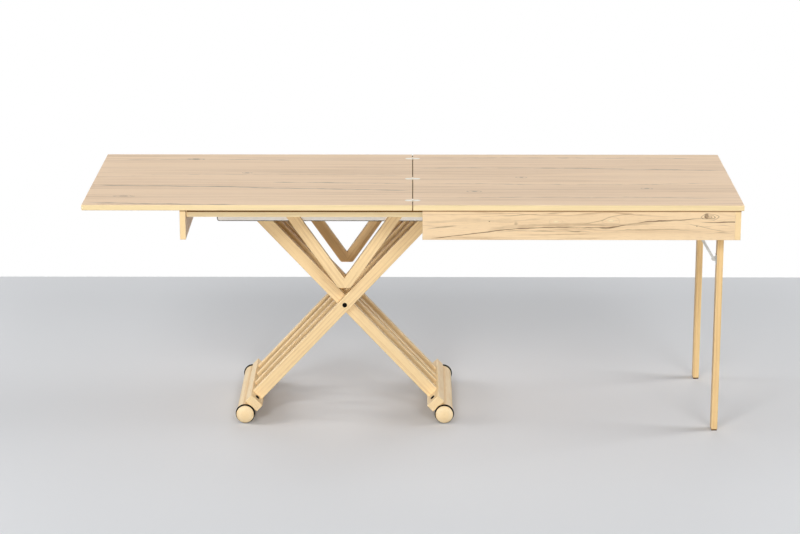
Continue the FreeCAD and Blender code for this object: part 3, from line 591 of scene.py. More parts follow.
@dataclass(frozen=True)
class WoodFinish:
    """Sawn and lacquered wood, with darker end grain and a light rim of painted highlight and wear
    on its eased edges.
    """

    light: Colour = linear(252, 224, 175)
    dark: Colour = linear(182, 134, 82)
    rim: Colour = linear(255, 236, 198)
    end: Colour = linear(234, 198, 144)
    line_colour: Colour = linear(84, 62, 44)
    ring_spacing: float = 0.0062
    wobble: float = 0.007
    rings: float = 0.22
    early_share: float = 0.35
    sparse: float = 0.33
    streaks: float = 0.27
    pores: float = 0.2
    tone: float = 0.4
    # Share of the light rim on eased edges: painted highlight, and wear.
    highlight_and_wear_amount: float = 0.55
    end_amount: float = 0.5
    # Painted shadow under the leaf: this colour darkens the board towards its top edge, between two
    # heights in metres.
    joint: Colour = linear(150, 108, 58)
    joint_amount: float = 0.0
    joint_levels: tuple[float, float] = (0.7258, 0.7282)
    relief: float = 0.00012
    specular: float = 0.3
    coat: float = 0.06
    coat_roughness: float = 0.4
    SEED_STEP = 11.3

    def lines(self) -> tuple[GrainLine, ...]:
        """Return the dark lines drawn on the board."""
        return ()

    def knots(self) -> tuple[Knot, ...]:
        """Return the knots drawn on the board."""
        return ()

    def faces(self, dresser: Dresser, colour: Socket, masks: Outputs) -> Socket:
        """Return the colour with the end grain darker and the eased edges lighter by painted
        highlight and wear.
        """
        s = dresser.sheet
        colour = s.blend(s.times(masks["End"], self.end_amount), colour, self.end)
        return s.blend(s.times(masks["Edge"], self.highlight_and_wear_amount), colour, self.rim)

    def material(self, effects: Effects, name: str, run: GrainRun) -> Material:
        """Make the material for boards whose grain runs one way.

        Args:
            effects: the shared node groups.
            name: the material's name.
            run: which way the grain runs.

        Returns:
            The material.
        """
        d = Dresser(name, run, self.relief)
        s = d.sheet
        vector = d.vector
        marks: list[tuple[Knot, Outputs]] = []
        for knot in self.knots():
            placed = d.use(effects.knot, Vector=vector, Centre_Along=knot.along,
                           Centre_Across=knot.across, Half_Length=knot.half_length,
                           Half_Height=knot.half_height, Bend=knot.bend,
                           Ring_Count=knot.ring_count)
            vector = placed["Vector"]
            marks.append((knot, placed))
        grain = d.use(effects.grain, Vector=vector, Ring_Spacing=self.ring_spacing,
                      Wobble=self.wobble, Rings=self.rings, Early_Share=self.early_share,
                      Sparse=self.sparse, Streaks=self.streaks, Pores=self.pores, Tone=self.tone,
                      Light=self.light, Dark=self.dark)
        masks = d.use(effects.faces, Normal=d.normal, Vector=d.vector)
        colour, height = grain["Colour"], grain["Height"]
        for knot, placed in marks:
            ring = s.times(placed["Rings"], knot.rings)
            core = s.times(placed["Core"], knot.core)
            colour = s.blend(ring, colour, self.line_colour)
            colour = s.blend(core, colour, self.rim if knot.pale else self.line_colour)
        for number, line in enumerate(self.lines()):
            mask = line.draw(d, effects.line, d.vector, self.SEED_STEP * number)
            colour = s.blend(mask, colour, self.line_colour)
            height = s.scaled(mask, -1.0, height)
        colour = self.faces(d, colour, masks)
        # Painted shadow under the leaf: darker towards the board's top edge.
        if self.joint_amount:
            joint = s.ease(s.split(d.place)[2], *self.joint_levels)
            colour = s.blend(s.times(joint, self.joint_amount), colour, self.joint)
        d.surface(colour, grain["Roughness"], height)
        d.set(Specular_IOR_Level=self.specular, Coat_Weight=self.coat,
              Coat_Roughness=self.coat_roughness)
        return d.material


@dataclass(frozen=True)
class LeafFinish(WoodFinish):
    """The leaves: long streaks and dark lines, one wood painted greige on the top and cream on the
    edges, a painted difference of light between them.
    """

    light: Colour = linear(243, 213, 179)
    dark: Colour = linear(160, 124, 94)
    rim: Colour = linear(255, 237, 182)
    end: Colour = linear(250, 226, 186)
    line_colour: Colour = linear(96, 80, 68)
    ring_spacing: float = 0.034
    wobble: float = 0.03
    rings: float = 0.12
    streaks: float = 0.34
    pores: float = 0.1
    tone: float = 0.75
    # Share of the cream on the sides: painted light, the sides lighter than the top.
    painted_side_light_amount: float = 0.62

    def lines(self) -> tuple[GrainLine, ...]:
        """Return the dark lines of both leaves."""
        return (
            GrainLine(((-1, -0.093), (-0.715, -0.104), (-0.406, -0.13), (-0.005, -0.157)), 0.007,
                      0.014, 0.45, 0.62),
            GrainLine(((-0.454, -0.05), (-0.193, -0.06), (-0.005, -0.07)), 0.006, 0.012, 0.6, 0.55),
            GrainLine(((-1.005, -0.318), (-0.793, -0.335), (-0.532, -0.345)), 0.008, 0.01, 0.3,
                      0.6),
            GrainLine(((-0.957, 0.262), (-0.715, 0.272), (-0.387, 0.262)), 0.006, 0.014, 0.8, 0.4),
            GrainLine(((-0.918, 0.03), (-0.483, 0.06), (-0.029, 0.04)), 0.005, 0.016, 0.8, 0.32),
            GrainLine(((0.01, 0.148), (0.387, 0.152), (0.677, 0.14), (0.996, 0.118)), 0.006, 0.012,
                      0.4, 0.58),
            GrainLine(((0.019, 0.285), (0.483, 0.3), (0.947, 0.29)), 0.006, 0.014, 0.7, 0.42),
            GrainLine(((0.048, -0.06), (0.483, -0.075), (0.967, -0.05)), 0.006, 0.016, 0.8, 0.36),
            GrainLine(((0.116, -0.26), (0.483, -0.245), (0.947, -0.27)), 0.006, 0.016, 0.8, 0.34),
        )

    def knots(self) -> tuple[Knot, ...]:
        """Return the small knots of both leaves."""
        return (
            Knot(-0.714, 0.277, 0.03, 0.014, 0.5, 1.5, 0.45, 0.5),
            Knot(-0.533, 0.079, 0.018, 0.011, 0.5, 1.5, 0.4, 0.4),
            Knot(-0.899, -0.235, 0.035, 0.016, 0.5, 1.5, 0.4, 0.35),
            Knot(0.348, 0.02, 0.02, 0.012, 0.5, 1.5, 0.35, 0.4),
            Knot(0.193, -0.17, 0.025, 0.014, 0.5, 1.5, 0.4, 0.4),
            Knot(0.735, -0.13, 0.022, 0.012, 0.5, 1.5, 0.35, 0.4),
        )

    def faces(self, dresser: Dresser, colour: Socket, masks: Outputs) -> Socket:
        """Return the colour with a cream band wherever the face isn't level, painted light that
        makes the sides lighter than the top.
        """
        s = dresser.sheet
        band = s.times(s.rest(masks["Flat"]), self.painted_side_light_amount)
        return s.blend(band, colour, self.rim)


@dataclass(frozen=True)
class PanelFinish(WoodFinish):
    """The boards that close the ends: quiet figure, and a plain light band on their cut ends."""

    light: Colour = linear(247, 219, 177)
    dark: Colour = linear(170, 128, 84)
    end: Colour = linear(254, 226, 176)
    end_amount: float = 0.85
    # Painted shadow under the leaf along the board's top edge.
    joint_amount: float = 0.75
    ring_spacing: float = 0.014
    wobble: float = 0.02


@dataclass(frozen=True)
class RailPaintedLightFinish(PanelFinish):
    """The rails: the palest boards with the quietest figure, painted lighter to make up for the
    leaf's shade over them.
    """

    light: Colour = linear(255, 236, 192)
    streaks: float = 0.12
    pores: float = 0.1
    rings: float = 0.12


@dataclass(frozen=True)
class ApronFinish(WoodFinish):
    """The long aprons: bold flowing figure, a long crack line, pale eyes and one ringed knot."""

    light: Colour = linear(249, 222, 183)
    dark: Colour = linear(150, 112, 76)
    line_colour: Colour = linear(98, 69, 46)
    # Painted shadow under the leaf along the board's top edge.
    joint_amount: float = 0.75
    ring_spacing: float = 0.016
    wobble: float = 0.05
    rings: float = 0.42
    early_share: float = 0.66
    sparse: float = 0.43
    streaks: float = 0.2
    tone: float = 0.5

    def lines(self) -> tuple[GrainLine, ...]:
        """Return the crack lines, on the board's face as seen from the front."""
        return (
            GrainLine(((0.048, 0.640), (0.203, 0.66), (0.362, 0.676), (0.454, 0.679),
                       (0.587, 0.678), (0.718, 0.696), (0.821, 0.7012), (0.892, 0.708),
                       (0.94, 0.708)), 0.0026, 0.006, 0.3, 0.85),
            GrainLine(((0.875, 0.697), (0.945, 0.695), (1.03, 0.6965)), 0.003, 0.004, 0.1, 0.9),
            GrainLine(((0.838, 0.6945), (0.871, 0.684), (0.9, 0.681), (0.93, 0.6845)), 0.0018,
                      0.004, 0.3, 0.55),
            GrainLine(((0.918, 0.685), (0.957, 0.6847), (0.985, 0.6755)), 0.0018, 0.004, 0.3, 0.55),
            GrainLine(((0.029, 0.672), (0.077, 0.677), (0.145, 0.684)), 0.0024, 0.004, 0.3, 0.65),
            GrainLine(((0.193, 0.712), (0.309, 0.716), (0.483, 0.727)), 0.002, 0.006, 0.5, 0.5),
            GrainLine(((0.251, 0.662), (0.406, 0.667), (0.561, 0.66)), 0.002, 0.006, 0.5, 0.55),
            GrainLine(((0.503, 0.686), (0.58, 0.7), (0.609, 0.7125), (0.696, 0.722)), 0.0018, 0.004,
                      0.4, 0.5),
            GrainLine(((0.599, 0.66), (0.754, 0.672), (0.87, 0.668)), 0.0018, 0.008, 0.6, 0.45),
            GrainLine(((0.831, 0.692), (0.889, 0.68), (0.947, 0.668), (0.986, 0.664)), 0.0016,
                      0.005, 0.4, 0.45),
            GrainLine(((0.918, 0.664), (0.967, 0.661), (0.99, 0.659)), 0.0022, 0.004, 0.2, 0.7),
            GrainLine(((0.22, 0.668), (0.36, 0.683), (0.46, 0.686), (0.6, 0.686), (0.76, 0.703)),
                      0.009, 0.008, 0.4, 0.24),
            GrainLine(((0.03, 0.69), (0.16, 0.7), (0.3, 0.7), (0.42, 0.712)), 0.008, 0.008, 0.5,
                      0.14),
        )

    def knots(self) -> tuple[Knot, ...]:
        """Return the ringed knot, the pale eyes and the pin knot."""
        return (
            Knot(0.911, 0.7115, 0.03, 0.0125, 0.75, 2.6, 0.6, 0.0),
            Knot(0.9, 0.713, 0.013, 0.0085, 0.4, 1.0, 0.3, 0.5),
            Knot(0.606, 0.7, 0.03, 0.0115, 0.7, 1.2, 0.3, 0.75, True),
            Knot(0.438, 0.697, 0.02, 0.009, 0.7, 1.2, 0.25, 0.7, True),
            Knot(0.316, 0.69, 0.014, 0.016, 0.3, 1.0, 0.0, 0.32),
            Knot(0.235, 0.697, 0.006, 0.004, 0.4, 1.0, 0.3, 0.8),
            Knot(0.8715, 0.684, 0.006, 0.004, 0.4, 1.0, 0.3, 0.8),
        )


@dataclass(frozen=True)
class RearApronFinish(ApronFinish):
    """The rear apron: a board of the same figure, its crack lower and its knot near the middle."""

    def lines(self) -> tuple[GrainLine, ...]:
        """Return the crack lines, on the board's face as seen from the front."""
        return (
            GrainLine(((0.05, 0.704), (0.21, 0.699), (0.38, 0.686), (0.52, 0.676), (0.7, 0.668),
                       (0.93, 0.655)), 0.003, 0.006, 0.4, 0.75),
            GrainLine(((0.09, 0.668), (0.24, 0.662), (0.41, 0.652)), 0.002, 0.006, 0.5, 0.5),
            GrainLine(((0.3, 0.716), (0.5, 0.722), (0.66, 0.712), (0.86, 0.716)), 0.002, 0.006, 0.5,
                      0.5),
            GrainLine(((0.56, 0.694), (0.72, 0.69), (0.96, 0.698)), 0.0018, 0.006, 0.5, 0.5),
            GrainLine(((0.62, 0.65), (0.8, 0.646), (0.97, 0.65)), 0.0018, 0.006, 0.5, 0.45),
        )

    def knots(self) -> tuple[Knot, ...]:
        """Return the ringed knot, a pale eye and a pin knot."""
        return (
            Knot(0.462, 0.701, 0.024, 0.011, 0.75, 2.2, 0.55, 0.5),
            Knot(0.78, 0.678, 0.026, 0.011, 0.7, 1.2, 0.3, 0.7, True),
            Knot(0.17, 0.68, 0.006, 0.004, 0.4, 1.0, 0.3, 0.8),
        )


@dataclass(frozen=True)
class FootFinish(WoodFinish):
    """The feet: turned and sanded all over, so their ends are as light as their sides."""

    end: Colour = linear(255, 230, 184)


@dataclass(frozen=True)
class LegFinish(WoodFinish):
    """The folding legs: a warmer lacquer, and a faint painted highlight and wear on their rounded
    edges.
    """

    light: Colour = linear(253, 219, 162)
    rim: Colour = linear(255, 228, 178)
    highlight_and_wear_amount: float = 0.3


@dataclass(frozen=True)
class SteelFinish:
    """Rolled, plated or enamelled steel."""

    base: Colour
    shade: Colour
    metallic: float
    relief: float = 0.00002

    def material(self, effects: Effects, name: str) -> Material:
        """Return the material."""
        d = Dresser(name, GrainRun.LENGTHWISE, self.relief)
        rolled = d.use(effects.brushed, Vector=d.vector, Base=self.base, Shade=self.shade)
        d.surface(rolled["Colour"], rolled["Roughness"], rolled["Height"])
        d.set(Metallic=self.metallic)
        return d.material


@dataclass(frozen=True)
class MouldedFinish:
    """Moulded rubber or plastic, powder-coated steel, or felt where it has a sheen."""

    base: Colour
    shade: Colour
    grit: float
    relief: float
    specular: float = 0.35
    sheen: float = 0.0

    def material(self, effects: Effects, name: str) -> Material:
        """Return the material."""
        d = Dresser(name, GrainRun.LENGTHWISE, self.relief)
        spots = d.use(effects.mottle, Vector=d.vector, Grit=self.grit, Base=self.base,
                      Shade=self.shade)
        d.surface(spots["Colour"], spots["Roughness"], spots["Height"])
        d.set(Specular_IOR_Level=self.specular, Sheen_Weight=self.sheen)
        return d.material


class Finishes:
    """Every material of the table, made when it is first asked for."""

    STEELS = {
        "zinc_steel": SteelFinish(linear(224, 222, 215), linear(204, 202, 196), 0.6),
        "plate_steel": SteelFinish(linear(255, 253, 248), linear(247, 245, 240), 0.15),
        # Dark grey steel for the plates' hems, a painted shade line.
        "painted_shade_steel": SteelFinish(linear(92, 94, 92), linear(72, 74, 72), 0.35),
        "hinge_steel": SteelFinish(linear(255, 249, 238), linear(240, 232, 218), 0.3),
    }
    MOULDED = {
        "black_rubber": MouldedFinish(linear(6, 6, 6), linear(3, 3, 3), 1400.0, 0.00005, 0.06),
        "black_steel": MouldedFinish(linear(13, 12, 11), linear(8, 7, 7), 1200.0, 0.00003, 0.08),
        "dark_glide": MouldedFinish(linear(112, 84, 58), linear(88, 65, 44), 900.0, 0.00004, 0.1),
        "pale_nylon": MouldedFinish(linear(236, 234, 226), linear(214, 211, 202), 700.0, 0.00003),
        # A dark brown for the rails' strips, which paints the shade under the leaf.
        "painted_shade_brown": MouldedFinish(linear(138, 97, 52), linear(110, 76, 41), 2200.0, 0.0002, 0.05,
                                    0.02),
        "grey_felt": MouldedFinish(linear(150, 147, 142), linear(104, 101, 97), 2200.0, 0.0004, 0.1,
                                   0.4),
    }

    def __init__(self) -> None:
        """Start with the shared effects and no material."""
        self.effects = Effects()
        self.made: dict[str, Material] = {}

    def plain(self, slot: str) -> Material:
        """Return the material of a metal, moulded or felt slot."""
        if slot not in self.made:
            finish = self.STEELS.get(slot) or self.MOULDED[slot]
            self.made[slot] = finish.material(self.effects, slot)
        return self.made[slot]

    def wood(self, run: GrainRun, finish: WoodFinish) -> Material:
        """Return the wood material of one finish with the grain running one way."""
        name = "%s_%s" % (type(finish).__name__.lower(), run.name.lower())
        if name not in self.made:
            self.made[name] = finish.material(self.effects, name, run)
        return self.made[name]

    def dress(self, material: Material, *names: str) -> None:
        """Give a material to solids of the frame."""
        for name in names:
            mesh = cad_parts[name].data
            mesh.materials.clear()
            mesh.materials.append(material)

    def dress_plain(self, slot: str, *names: str) -> None:
        """Give a metal, moulded or felt finish to solids of the frame."""
        self.dress(self.plain(slot), *names)

    def dress_wood(self, finish: WoodFinish, run: GrainRun, *names: str) -> None:
        """Give a wood finish, with the grain running one way, to solids of the frame."""
        self.dress(self.wood(run, finish), *names)


class Builder:
    """Makes new pieces from grids of points."""

    BOW_STEPS = 6
    SECTION_STEPS = 20
    HEAD_STEPS = 48
    CROSS_SHARES = (0.0, 0.07, 0.13, 0.17, 0.22)
    DOME_SHARES = (0.3, 1.0, 9)
    CROSS_HALF = 0.14
    CROSS_REACH = 0.62
    CROSS_DEPTH = 1.4
    DOME_FALL = 0.75
    SKIRT_DEPTH = 0.4
    MERGE_DISTANCE = 1e-7
    SLIVER_LENGTH = 1e-8
    CRISP_ANGLE = math.radians(40.0)

    def __init__(self, finishes: Finishes) -> None:
        """Keep the finishes that the pieces get."""
        self.finishes = finishes

    @staticmethod
    def skin(rows: np.ndarray) -> Grid:
        """Join a grid of points by quads.

        Args:
            rows: points, shaped rows by columns by 3; each row closes into a loop.

        Returns:
            The points in one list, and four point numbers for each face.
        """
        count, width = rows.shape[:2]
        number = np.arange(count * width).reshape(count, width)
        below, above = number[:-1], number[1:]
        below_next, above_next = np.roll(below, -1, axis=1), np.roll(above, -1, axis=1)
        quads = np.stack([below, below_next, above_next, above], axis=-1)
        return rows.reshape(-1, 3), quads.reshape(-1, 4)

    def sweep(self, path: np.ndarray, side: Place, half_side: float,
              half_other: float) -> Grid:
        """Carry an oval section along a flat path.

        A point is the path's point, plus half the width times a cosine along the side direction,
        plus half the height times a sine along the direction square to the side and to the path.
        The section falls to nothing at both ends as a quarter circle.

        Args:
            path: points, shaped n by 3, in a plane square to the side direction.
            side: the side direction.
            half_side: half the section along the side direction.
            half_other: half the section square to it.

        Returns:
            Points and faces.
        """
        bow = np.linspace(0.0, np.pi / 2.0, self.BOW_STEPS)
        tangent = np.gradient(path, axis=0)
        tangent /= np.linalg.norm(tangent, axis=1, keepdims=True)
        reach = min(half_side, half_other)
        first = path[0] - tangent[0] * reach * np.cos(bow)[:, None]
        last = path[-1] + tangent[-1] * reach * np.cos(bow[::-1])[:, None]
        line = np.concatenate([first, path[1:-1], last])
        share = np.concatenate([np.sin(bow), np.ones(len(path) - 2), np.sin(bow[::-1])])
        heading = np.concatenate([np.repeat(tangent[:1], len(bow), axis=0), tangent[1:-1],
                                  np.repeat(tangent[-1:], len(bow), axis=0)])
        other = np.cross(heading, side)
        angle = np.linspace(0.0, 2.0 * np.pi, self.SECTION_STEPS, endpoint=False)
        across = half_side * np.cos(angle)[None, :, None] * np.array(side)
        upward = half_other * np.sin(angle)[None, :, None] * other[:, None, :]
        return self.skin(line[:, None, :] + share[:, None, None] * (across + upward))

    def piece(self, name: str, parts: list[Grid], body: str, slot: str,
              material: Material) -> bpy.types.Object:
        """Make one object from grids of points.

        Args:
            name: the piece's name.
            parts: points and faces of each grid.
            body: the body that it rides on.
            slot: the record's material slot; not used.
            material: its finish.

        Returns:
            The object.
        """
        starts = np.cumsum([0] + [len(points) for points, _ in parts[:-1]])
        points = np.concatenate([points for points, _ in parts])
        faces = np.concatenate([faces + start for (_, faces), start in zip(parts, starts)])
        mesh = bpy.data.meshes.new(name)
        mesh.from_pydata(points.tolist(), [], faces.tolist())
        work = bmesh.new()
        work.from_mesh(mesh)
        bmesh.ops.remove_doubles(work, verts=work.verts, dist=self.MERGE_DISTANCE)
        bmesh.ops.dissolve_degenerate(work, edges=work.edges, dist=self.SLIVER_LENGTH)
        bmesh.ops.recalc_face_normals(work, faces=work.faces)
        work.to_mesh(mesh)
        work.free()
        mesh.shade_smooth()
        mesh.set_sharp_from_angle(angle=self.CRISP_ANGLE)
        mesh.materials.append(material)
        made = bpy.data.objects.new(name, mesh)
        bpy.context.scene.collection.objects.link(made)
        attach(made, body)
        LOG.info("%s: %d faces on %s", name, len(mesh.polygons), body)
        return made

    def screw_head(self, place: Place, axis: Place, radius: float,
                   rise: float, turn: float) -> Grid:
        """A low domed screw head with a cross recess.

        The height over a disc is the rise times one minus part of the square of the radius share,
        less the recess where the point lies within half a slot of either slot's middle line and
        inside the slot's length. A short skirt carries the rim down into the surface.

        Args:
            place: the middle of the head on the surface.
            axis: outward direction, square to Y.
            radius: radius of the head.
            rise: height of the dome.
            turn: turn of the cross, in radians.

        Returns:
            Points and faces.
        """
        share = np.concatenate([self.CROSS_SHARES, np.linspace(*self.DOME_SHARES), [1.0]])
        angle = np.linspace(0.0, 2.0 * np.pi, self.HEAD_STEPS, endpoint=False)
        distance, heading = np.meshgrid(share, angle, indexing="ij")
        right = distance * np.cos(heading - turn)
        up = distance * np.sin(heading - turn)
        within = np.minimum(np.abs(right), np.abs(up)) < self.CROSS_HALF
        within &= distance < self.CROSS_REACH
        height = rise * (1.0 - self.DOME_FALL * distance ** 2) - self.CROSS_DEPTH * rise * within
        height[-1] = -self.SKIRT_DEPTH * radius
        along = np.array(axis, float)
        side = np.cross(along, BACKWARD)
        other = np.cross(along, side)
        points = (np.array(place) + (radius * distance * np.cos(heading))[..., None] * side
                  + (radius * distance * np.sin(heading))[..., None] * other
                  + height[..., None] * along)
        return self.skin(points)


@dataclass
class Leaves:
    """Both leaves and the flap hinges at their seam."""

    hinge_spacing: float = 0.288
    top: float = 0.75
    screw_x: float = 0.0135
    screw_y: float = 0.0048
    screw_radius: float = 0.0024
    screw_rise: float = 0.0003
    screw_turn: float = 0.6

    def build(self, builder: Builder) -> None:
        """Dress the leaves and hinges, and add the hinge screws."""
        finishes = builder.finishes
        finishes.dress_wood(LeafFinish(), GrainRun.LENGTHWISE, "right_leaf", "left_leaf")
        steel = finishes.plain("hinge_steel")
        finishes.dress(steel, "hinge_plates_right", "hinge_plates_left", "hinge_pins")
        # The seam strip is dark brown, which darkens the seam between the leaves.
        finishes.dress_plain("dark_glide", "seam_strip")
        for name, side, body in (("hinge_screws_right", 1, "apron_box"),
                                 ("hinge_screws_left", -1, "flip_leaf")):
            heads = []
            for row, step in product((-1, 0, 1), (-1, 1)):
                across = row * self.hinge_spacing + step * self.screw_y
                turn = self.screw_turn * step + row + side
                heads.append(builder.screw_head((side * self.screw_x, across, self.top), UPWARD,
                                                self.screw_radius, self.screw_rise, turn))
            builder.piece(name, heads, body, "hinge_steel", steel)


@dataclass
class ApronBox:
    """The aprons under the right leaf, with their tracks, battens and leg pins."""

    def build(self, builder: Builder) -> None:
        """Dress every solid of the box."""
        finishes = builder.finishes
        finishes.dress_wood(ApronFinish(), GrainRun.ON_FRONT, "front_apron")
        finishes.dress_wood(RearApronFinish(), GrainRun.ON_FRONT, "rear_apron")
        finishes.dress_wood(PanelFinish(), GrainRun.CROSSWISE, "end_apron")
        finishes.dress_wood(WoodFinish(), GrainRun.LENGTHWISE, "leg_battens")
        finishes.dress_plain("zinc_steel", "front_slide_track", "rear_slide_track", "leg_pins")


@dataclass
class RailFrame:
    """The rails, end panel, guide plates and V braces that stay on the base."""

    plate_thickness: float = 0.003
    plate_corner: float = 0.006
    corner_steps: int = 9
    hem_radius: float = 0.0017
    plate_screw_inset: float = 0.013
    plate_screw_offset: float = 0.015
    panel_screw_offset: float = 0.0075
    screw_radius: float = 0.004
    pan_rise: float = 0.002
    flush_rise: float = 0.0005
    pan_turn: float = 0.7
    flush_turn: float = 1.1
    # The dark strips that paint the shade under the leaf on the rails.
    shade_strip_rise: float = 0.001
    shade_strip_height: float = 0.0132
    shade_strip_inset: float = 0.002

    def build(self, builder: Builder) -> None:
        """Dress the solids, and add the plates' hems, the rails' dark strips and the screw heads;
        the hems' dark steel paints a shade line and the strips paint the shade under the leaf.
        """
        finishes = builder.finishes
        finishes.dress_wood(RailPaintedLightFinish(), GrainRun.ON_FRONT, "front_rail", "rear_rail")
        finishes.dress_wood(WoodFinish(), GrainRun.CROSSWISE, "left_cross_rail", "right_cross_rail",
                            "end_cross_rail")
        finishes.dress_wood(PanelFinish(), GrainRun.CROSSWISE, "end_panel")
        for side, run in (("left", GrainRun.LEFT_BRACE), ("right", GrainRun.RIGHT_BRACE)):
            finishes.dress_wood(WoodFinish(), run, "v_brace_front_" + side, "v_brace_rear_" + side)
        finishes.dress_plain("grey_felt", "leaf_felt_strips")
        finishes.dress_plain("pale_nylon", "track_glide_blocks")
        finishes.dress_plain("plate_steel", "front_guide_plate", "rear_guide_plate")
        self.build_hems(builder)
        self.build_shade_strips(builder)
        self.build_screws(builder)

    def build_hems(self, builder: Builder) -> None:
        """Roll the free edges of the guide plates: down one end, along, and up the other end. The
        hems are dark grey steel, a painted shade line along the plates' edges.

        The path is two quarter circles of the plate's corner radius, joined and ended by straight
        runs.
        """
        low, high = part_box("front_guide_plate")
        turn = np.linspace(0.0, np.pi / 2.0, self.corner_steps)
        corner = self.plate_corner
        left = np.stack([low[0] + corner * (1.0 - np.cos(turn)),
                         low[2] + corner * (1.0 - np.sin(turn))], axis=1)
        right = np.array([low[0] + high[0], 0.0]) + left[::-1] * (-1.0, 1.0)
        stop = high[2] - self.plate_thickness
        edge = np.concatenate([[(low[0], stop)], left, right, [(high[0], stop)]])
        parts = []
        for side in (-1, 1):
            depth = side * (low[1] + self.plate_thickness / 2.0)
            path = np.stack([edge[:, 0], np.full(len(edge), depth), edge[:, 1]], axis=1)
            parts.append(builder.sweep(path, BACKWARD, self.hem_radius, self.hem_radius))
        builder.piece("guide_plate_hems", parts, "sub_frame", "zinc_steel",
                      builder.finishes.plain("painted_shade_steel"))

    def build_shade_strips(self, builder: Builder) -> None:
        """A painted shade under the leaf: a dark brown low oval strip along X at the top of each
        rail's outer face.
        """
        low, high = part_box("front_rail")
        start = low[0] + self.shade_strip_inset
        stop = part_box("track_glide_blocks")[0][0] - self.shade_strip_inset
        level = high[2] - self.shade_strip_height / 2.0
        parts = []
        for side in (-1, 1):
            path = np.array([(start, side * low[1], level), (stop, side * low[1], level)])
            parts.append(builder.sweep(path, BACKWARD, self.shade_strip_rise, self.shade_strip_height / 2.0))
        builder.piece("rail_painted_shade_strips", parts, "sub_frame", "grey_felt",
                      builder.finishes.plain("painted_shade_brown"))

    def build_screws(self, builder: Builder) -> None:
        """Put crossed heads in place of the plain screws, under the plates and on the end panel."""
        plate_low, plate_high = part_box("front_guide_plate")
        rail_low, rail_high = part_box("front_rail")
        panel_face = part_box("end_panel")[0][0]
        flange_under = plate_high[2] - self.plate_thickness
        screw_y = plate_low[1] + self.plate_screw_inset
        rows = []
        for name in ("left_cross_rail", "right_cross_rail"):
            low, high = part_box(name)
            rows += [(low[0] + high[0]) / 2.0 + step * self.plate_screw_offset for step in (-1, 1)]
        heads = []
        for side in (-1, 1):
            for number, along in enumerate(rows):
                place = (along, side * screw_y, flange_under)
                heads.append(builder.screw_head(place, DOWNWARD, self.screw_radius, self.pan_rise,
                                                self.pan_turn * number + side))
            for step in (-1, 1):
                place = (panel_face, side * (rail_low[1] + rail_high[1]) / 2.0,
                         (rail_low[2] + rail_high[2]) / 2.0 + step * self.panel_screw_offset)
                heads.append(builder.screw_head(place, LEFTWARD, self.screw_radius, self.flush_rise,
                                                self.flush_turn * step + side))
        made = builder.piece("frame_screw_heads", heads, "sub_frame", "zinc_steel",
                             builder.finishes.plain("zinc_steel"))
        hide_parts("frame_screws")


@dataclass
class ScissorBase:
    """Eight arms, their shafts, and the two feet."""

    def build(self, builder: Builder) -> None:
        """Dress the arms, shafts and feet."""
        finishes = builder.finishes
        rows = ("front_outer", "front_inner", "rear_inner", "rear_outer")
        finishes.dress_wood(WoodFinish(), GrainRun.LEFT_ARM, *("arm_left_" + row for row in rows))
        finishes.dress_wood(WoodFinish(), GrainRun.RIGHT_ARM, *("arm_right_" + row for row in rows))
        for side in ("left", "right"):
            finishes.dress_wood(FootFinish(), GrainRun.CROSSWISE, side + "_foot_plank",
                                side + "_foot_roller")
            finishes.dress_plain("black_rubber", side + "_foot_rings")
            finishes.dress_plain("black_steel", side + "_foot_bolts")
            finishes.dress_plain("zinc_steel", side + "_top_shaft", side + "_shaft_clips")
            finishes.dress_plain("pale_nylon", side + "_slot_bushes")
        finishes.dress_plain("zinc_steel", "pivot_shaft", "pivot_spacers")
        finishes.dress_plain("pale_nylon", "pivot_washers")
        finishes.dress_plain("black_steel", "pivot_caps")


@dataclass
class FoldingLegs:
    """The leg pair with its glides and braces."""

    def build(self, builder: Builder) -> None:
        """Dress the legs, glides and braces."""
        finishes = builder.finishes
        finishes.dress_wood(LegFinish(), GrainRun.UPRIGHT, "front_leg", "rear_leg")
        finishes.dress_wood(WoodFinish(), GrainRun.CROSSWISE, "leg_bar")
        finishes.dress_plain("dark_glide", "leg_glides")
        finishes.dress_plain("zinc_steel", "brace_brackets", "leg_braces")


@dataclass(frozen=True)
class Lamp:
    """A soft square lamp that faces the middle of the table and leaves no glint of itself."""

    name: str
    place: Place
    side: float
    power: float
    aim: Place = (0.0, 0.0, 0.45)

    def hang(self, scene: bpy.types.Scene) -> None:
        """Hang the lamp in the scene, turned towards its aim.

        Args:
            scene: the scene that it lights.
        """
        lamp = bpy.data.lights.new(self.name, "AREA")
        lamp.size = self.side
        lamp.energy = self.power
        hung = bpy.data.objects.new(self.name, lamp)
        back = np.subtract(self.place, self.aim)
        hung.location = self.place
        hung.rotation_euler = (math.atan2(math.hypot(back[0], back[1]), back[2]), 0.0,
                               math.atan2(back[0], -back[1]))
        hung.visible_glossy = False
        scene.collection.objects.link(hung)


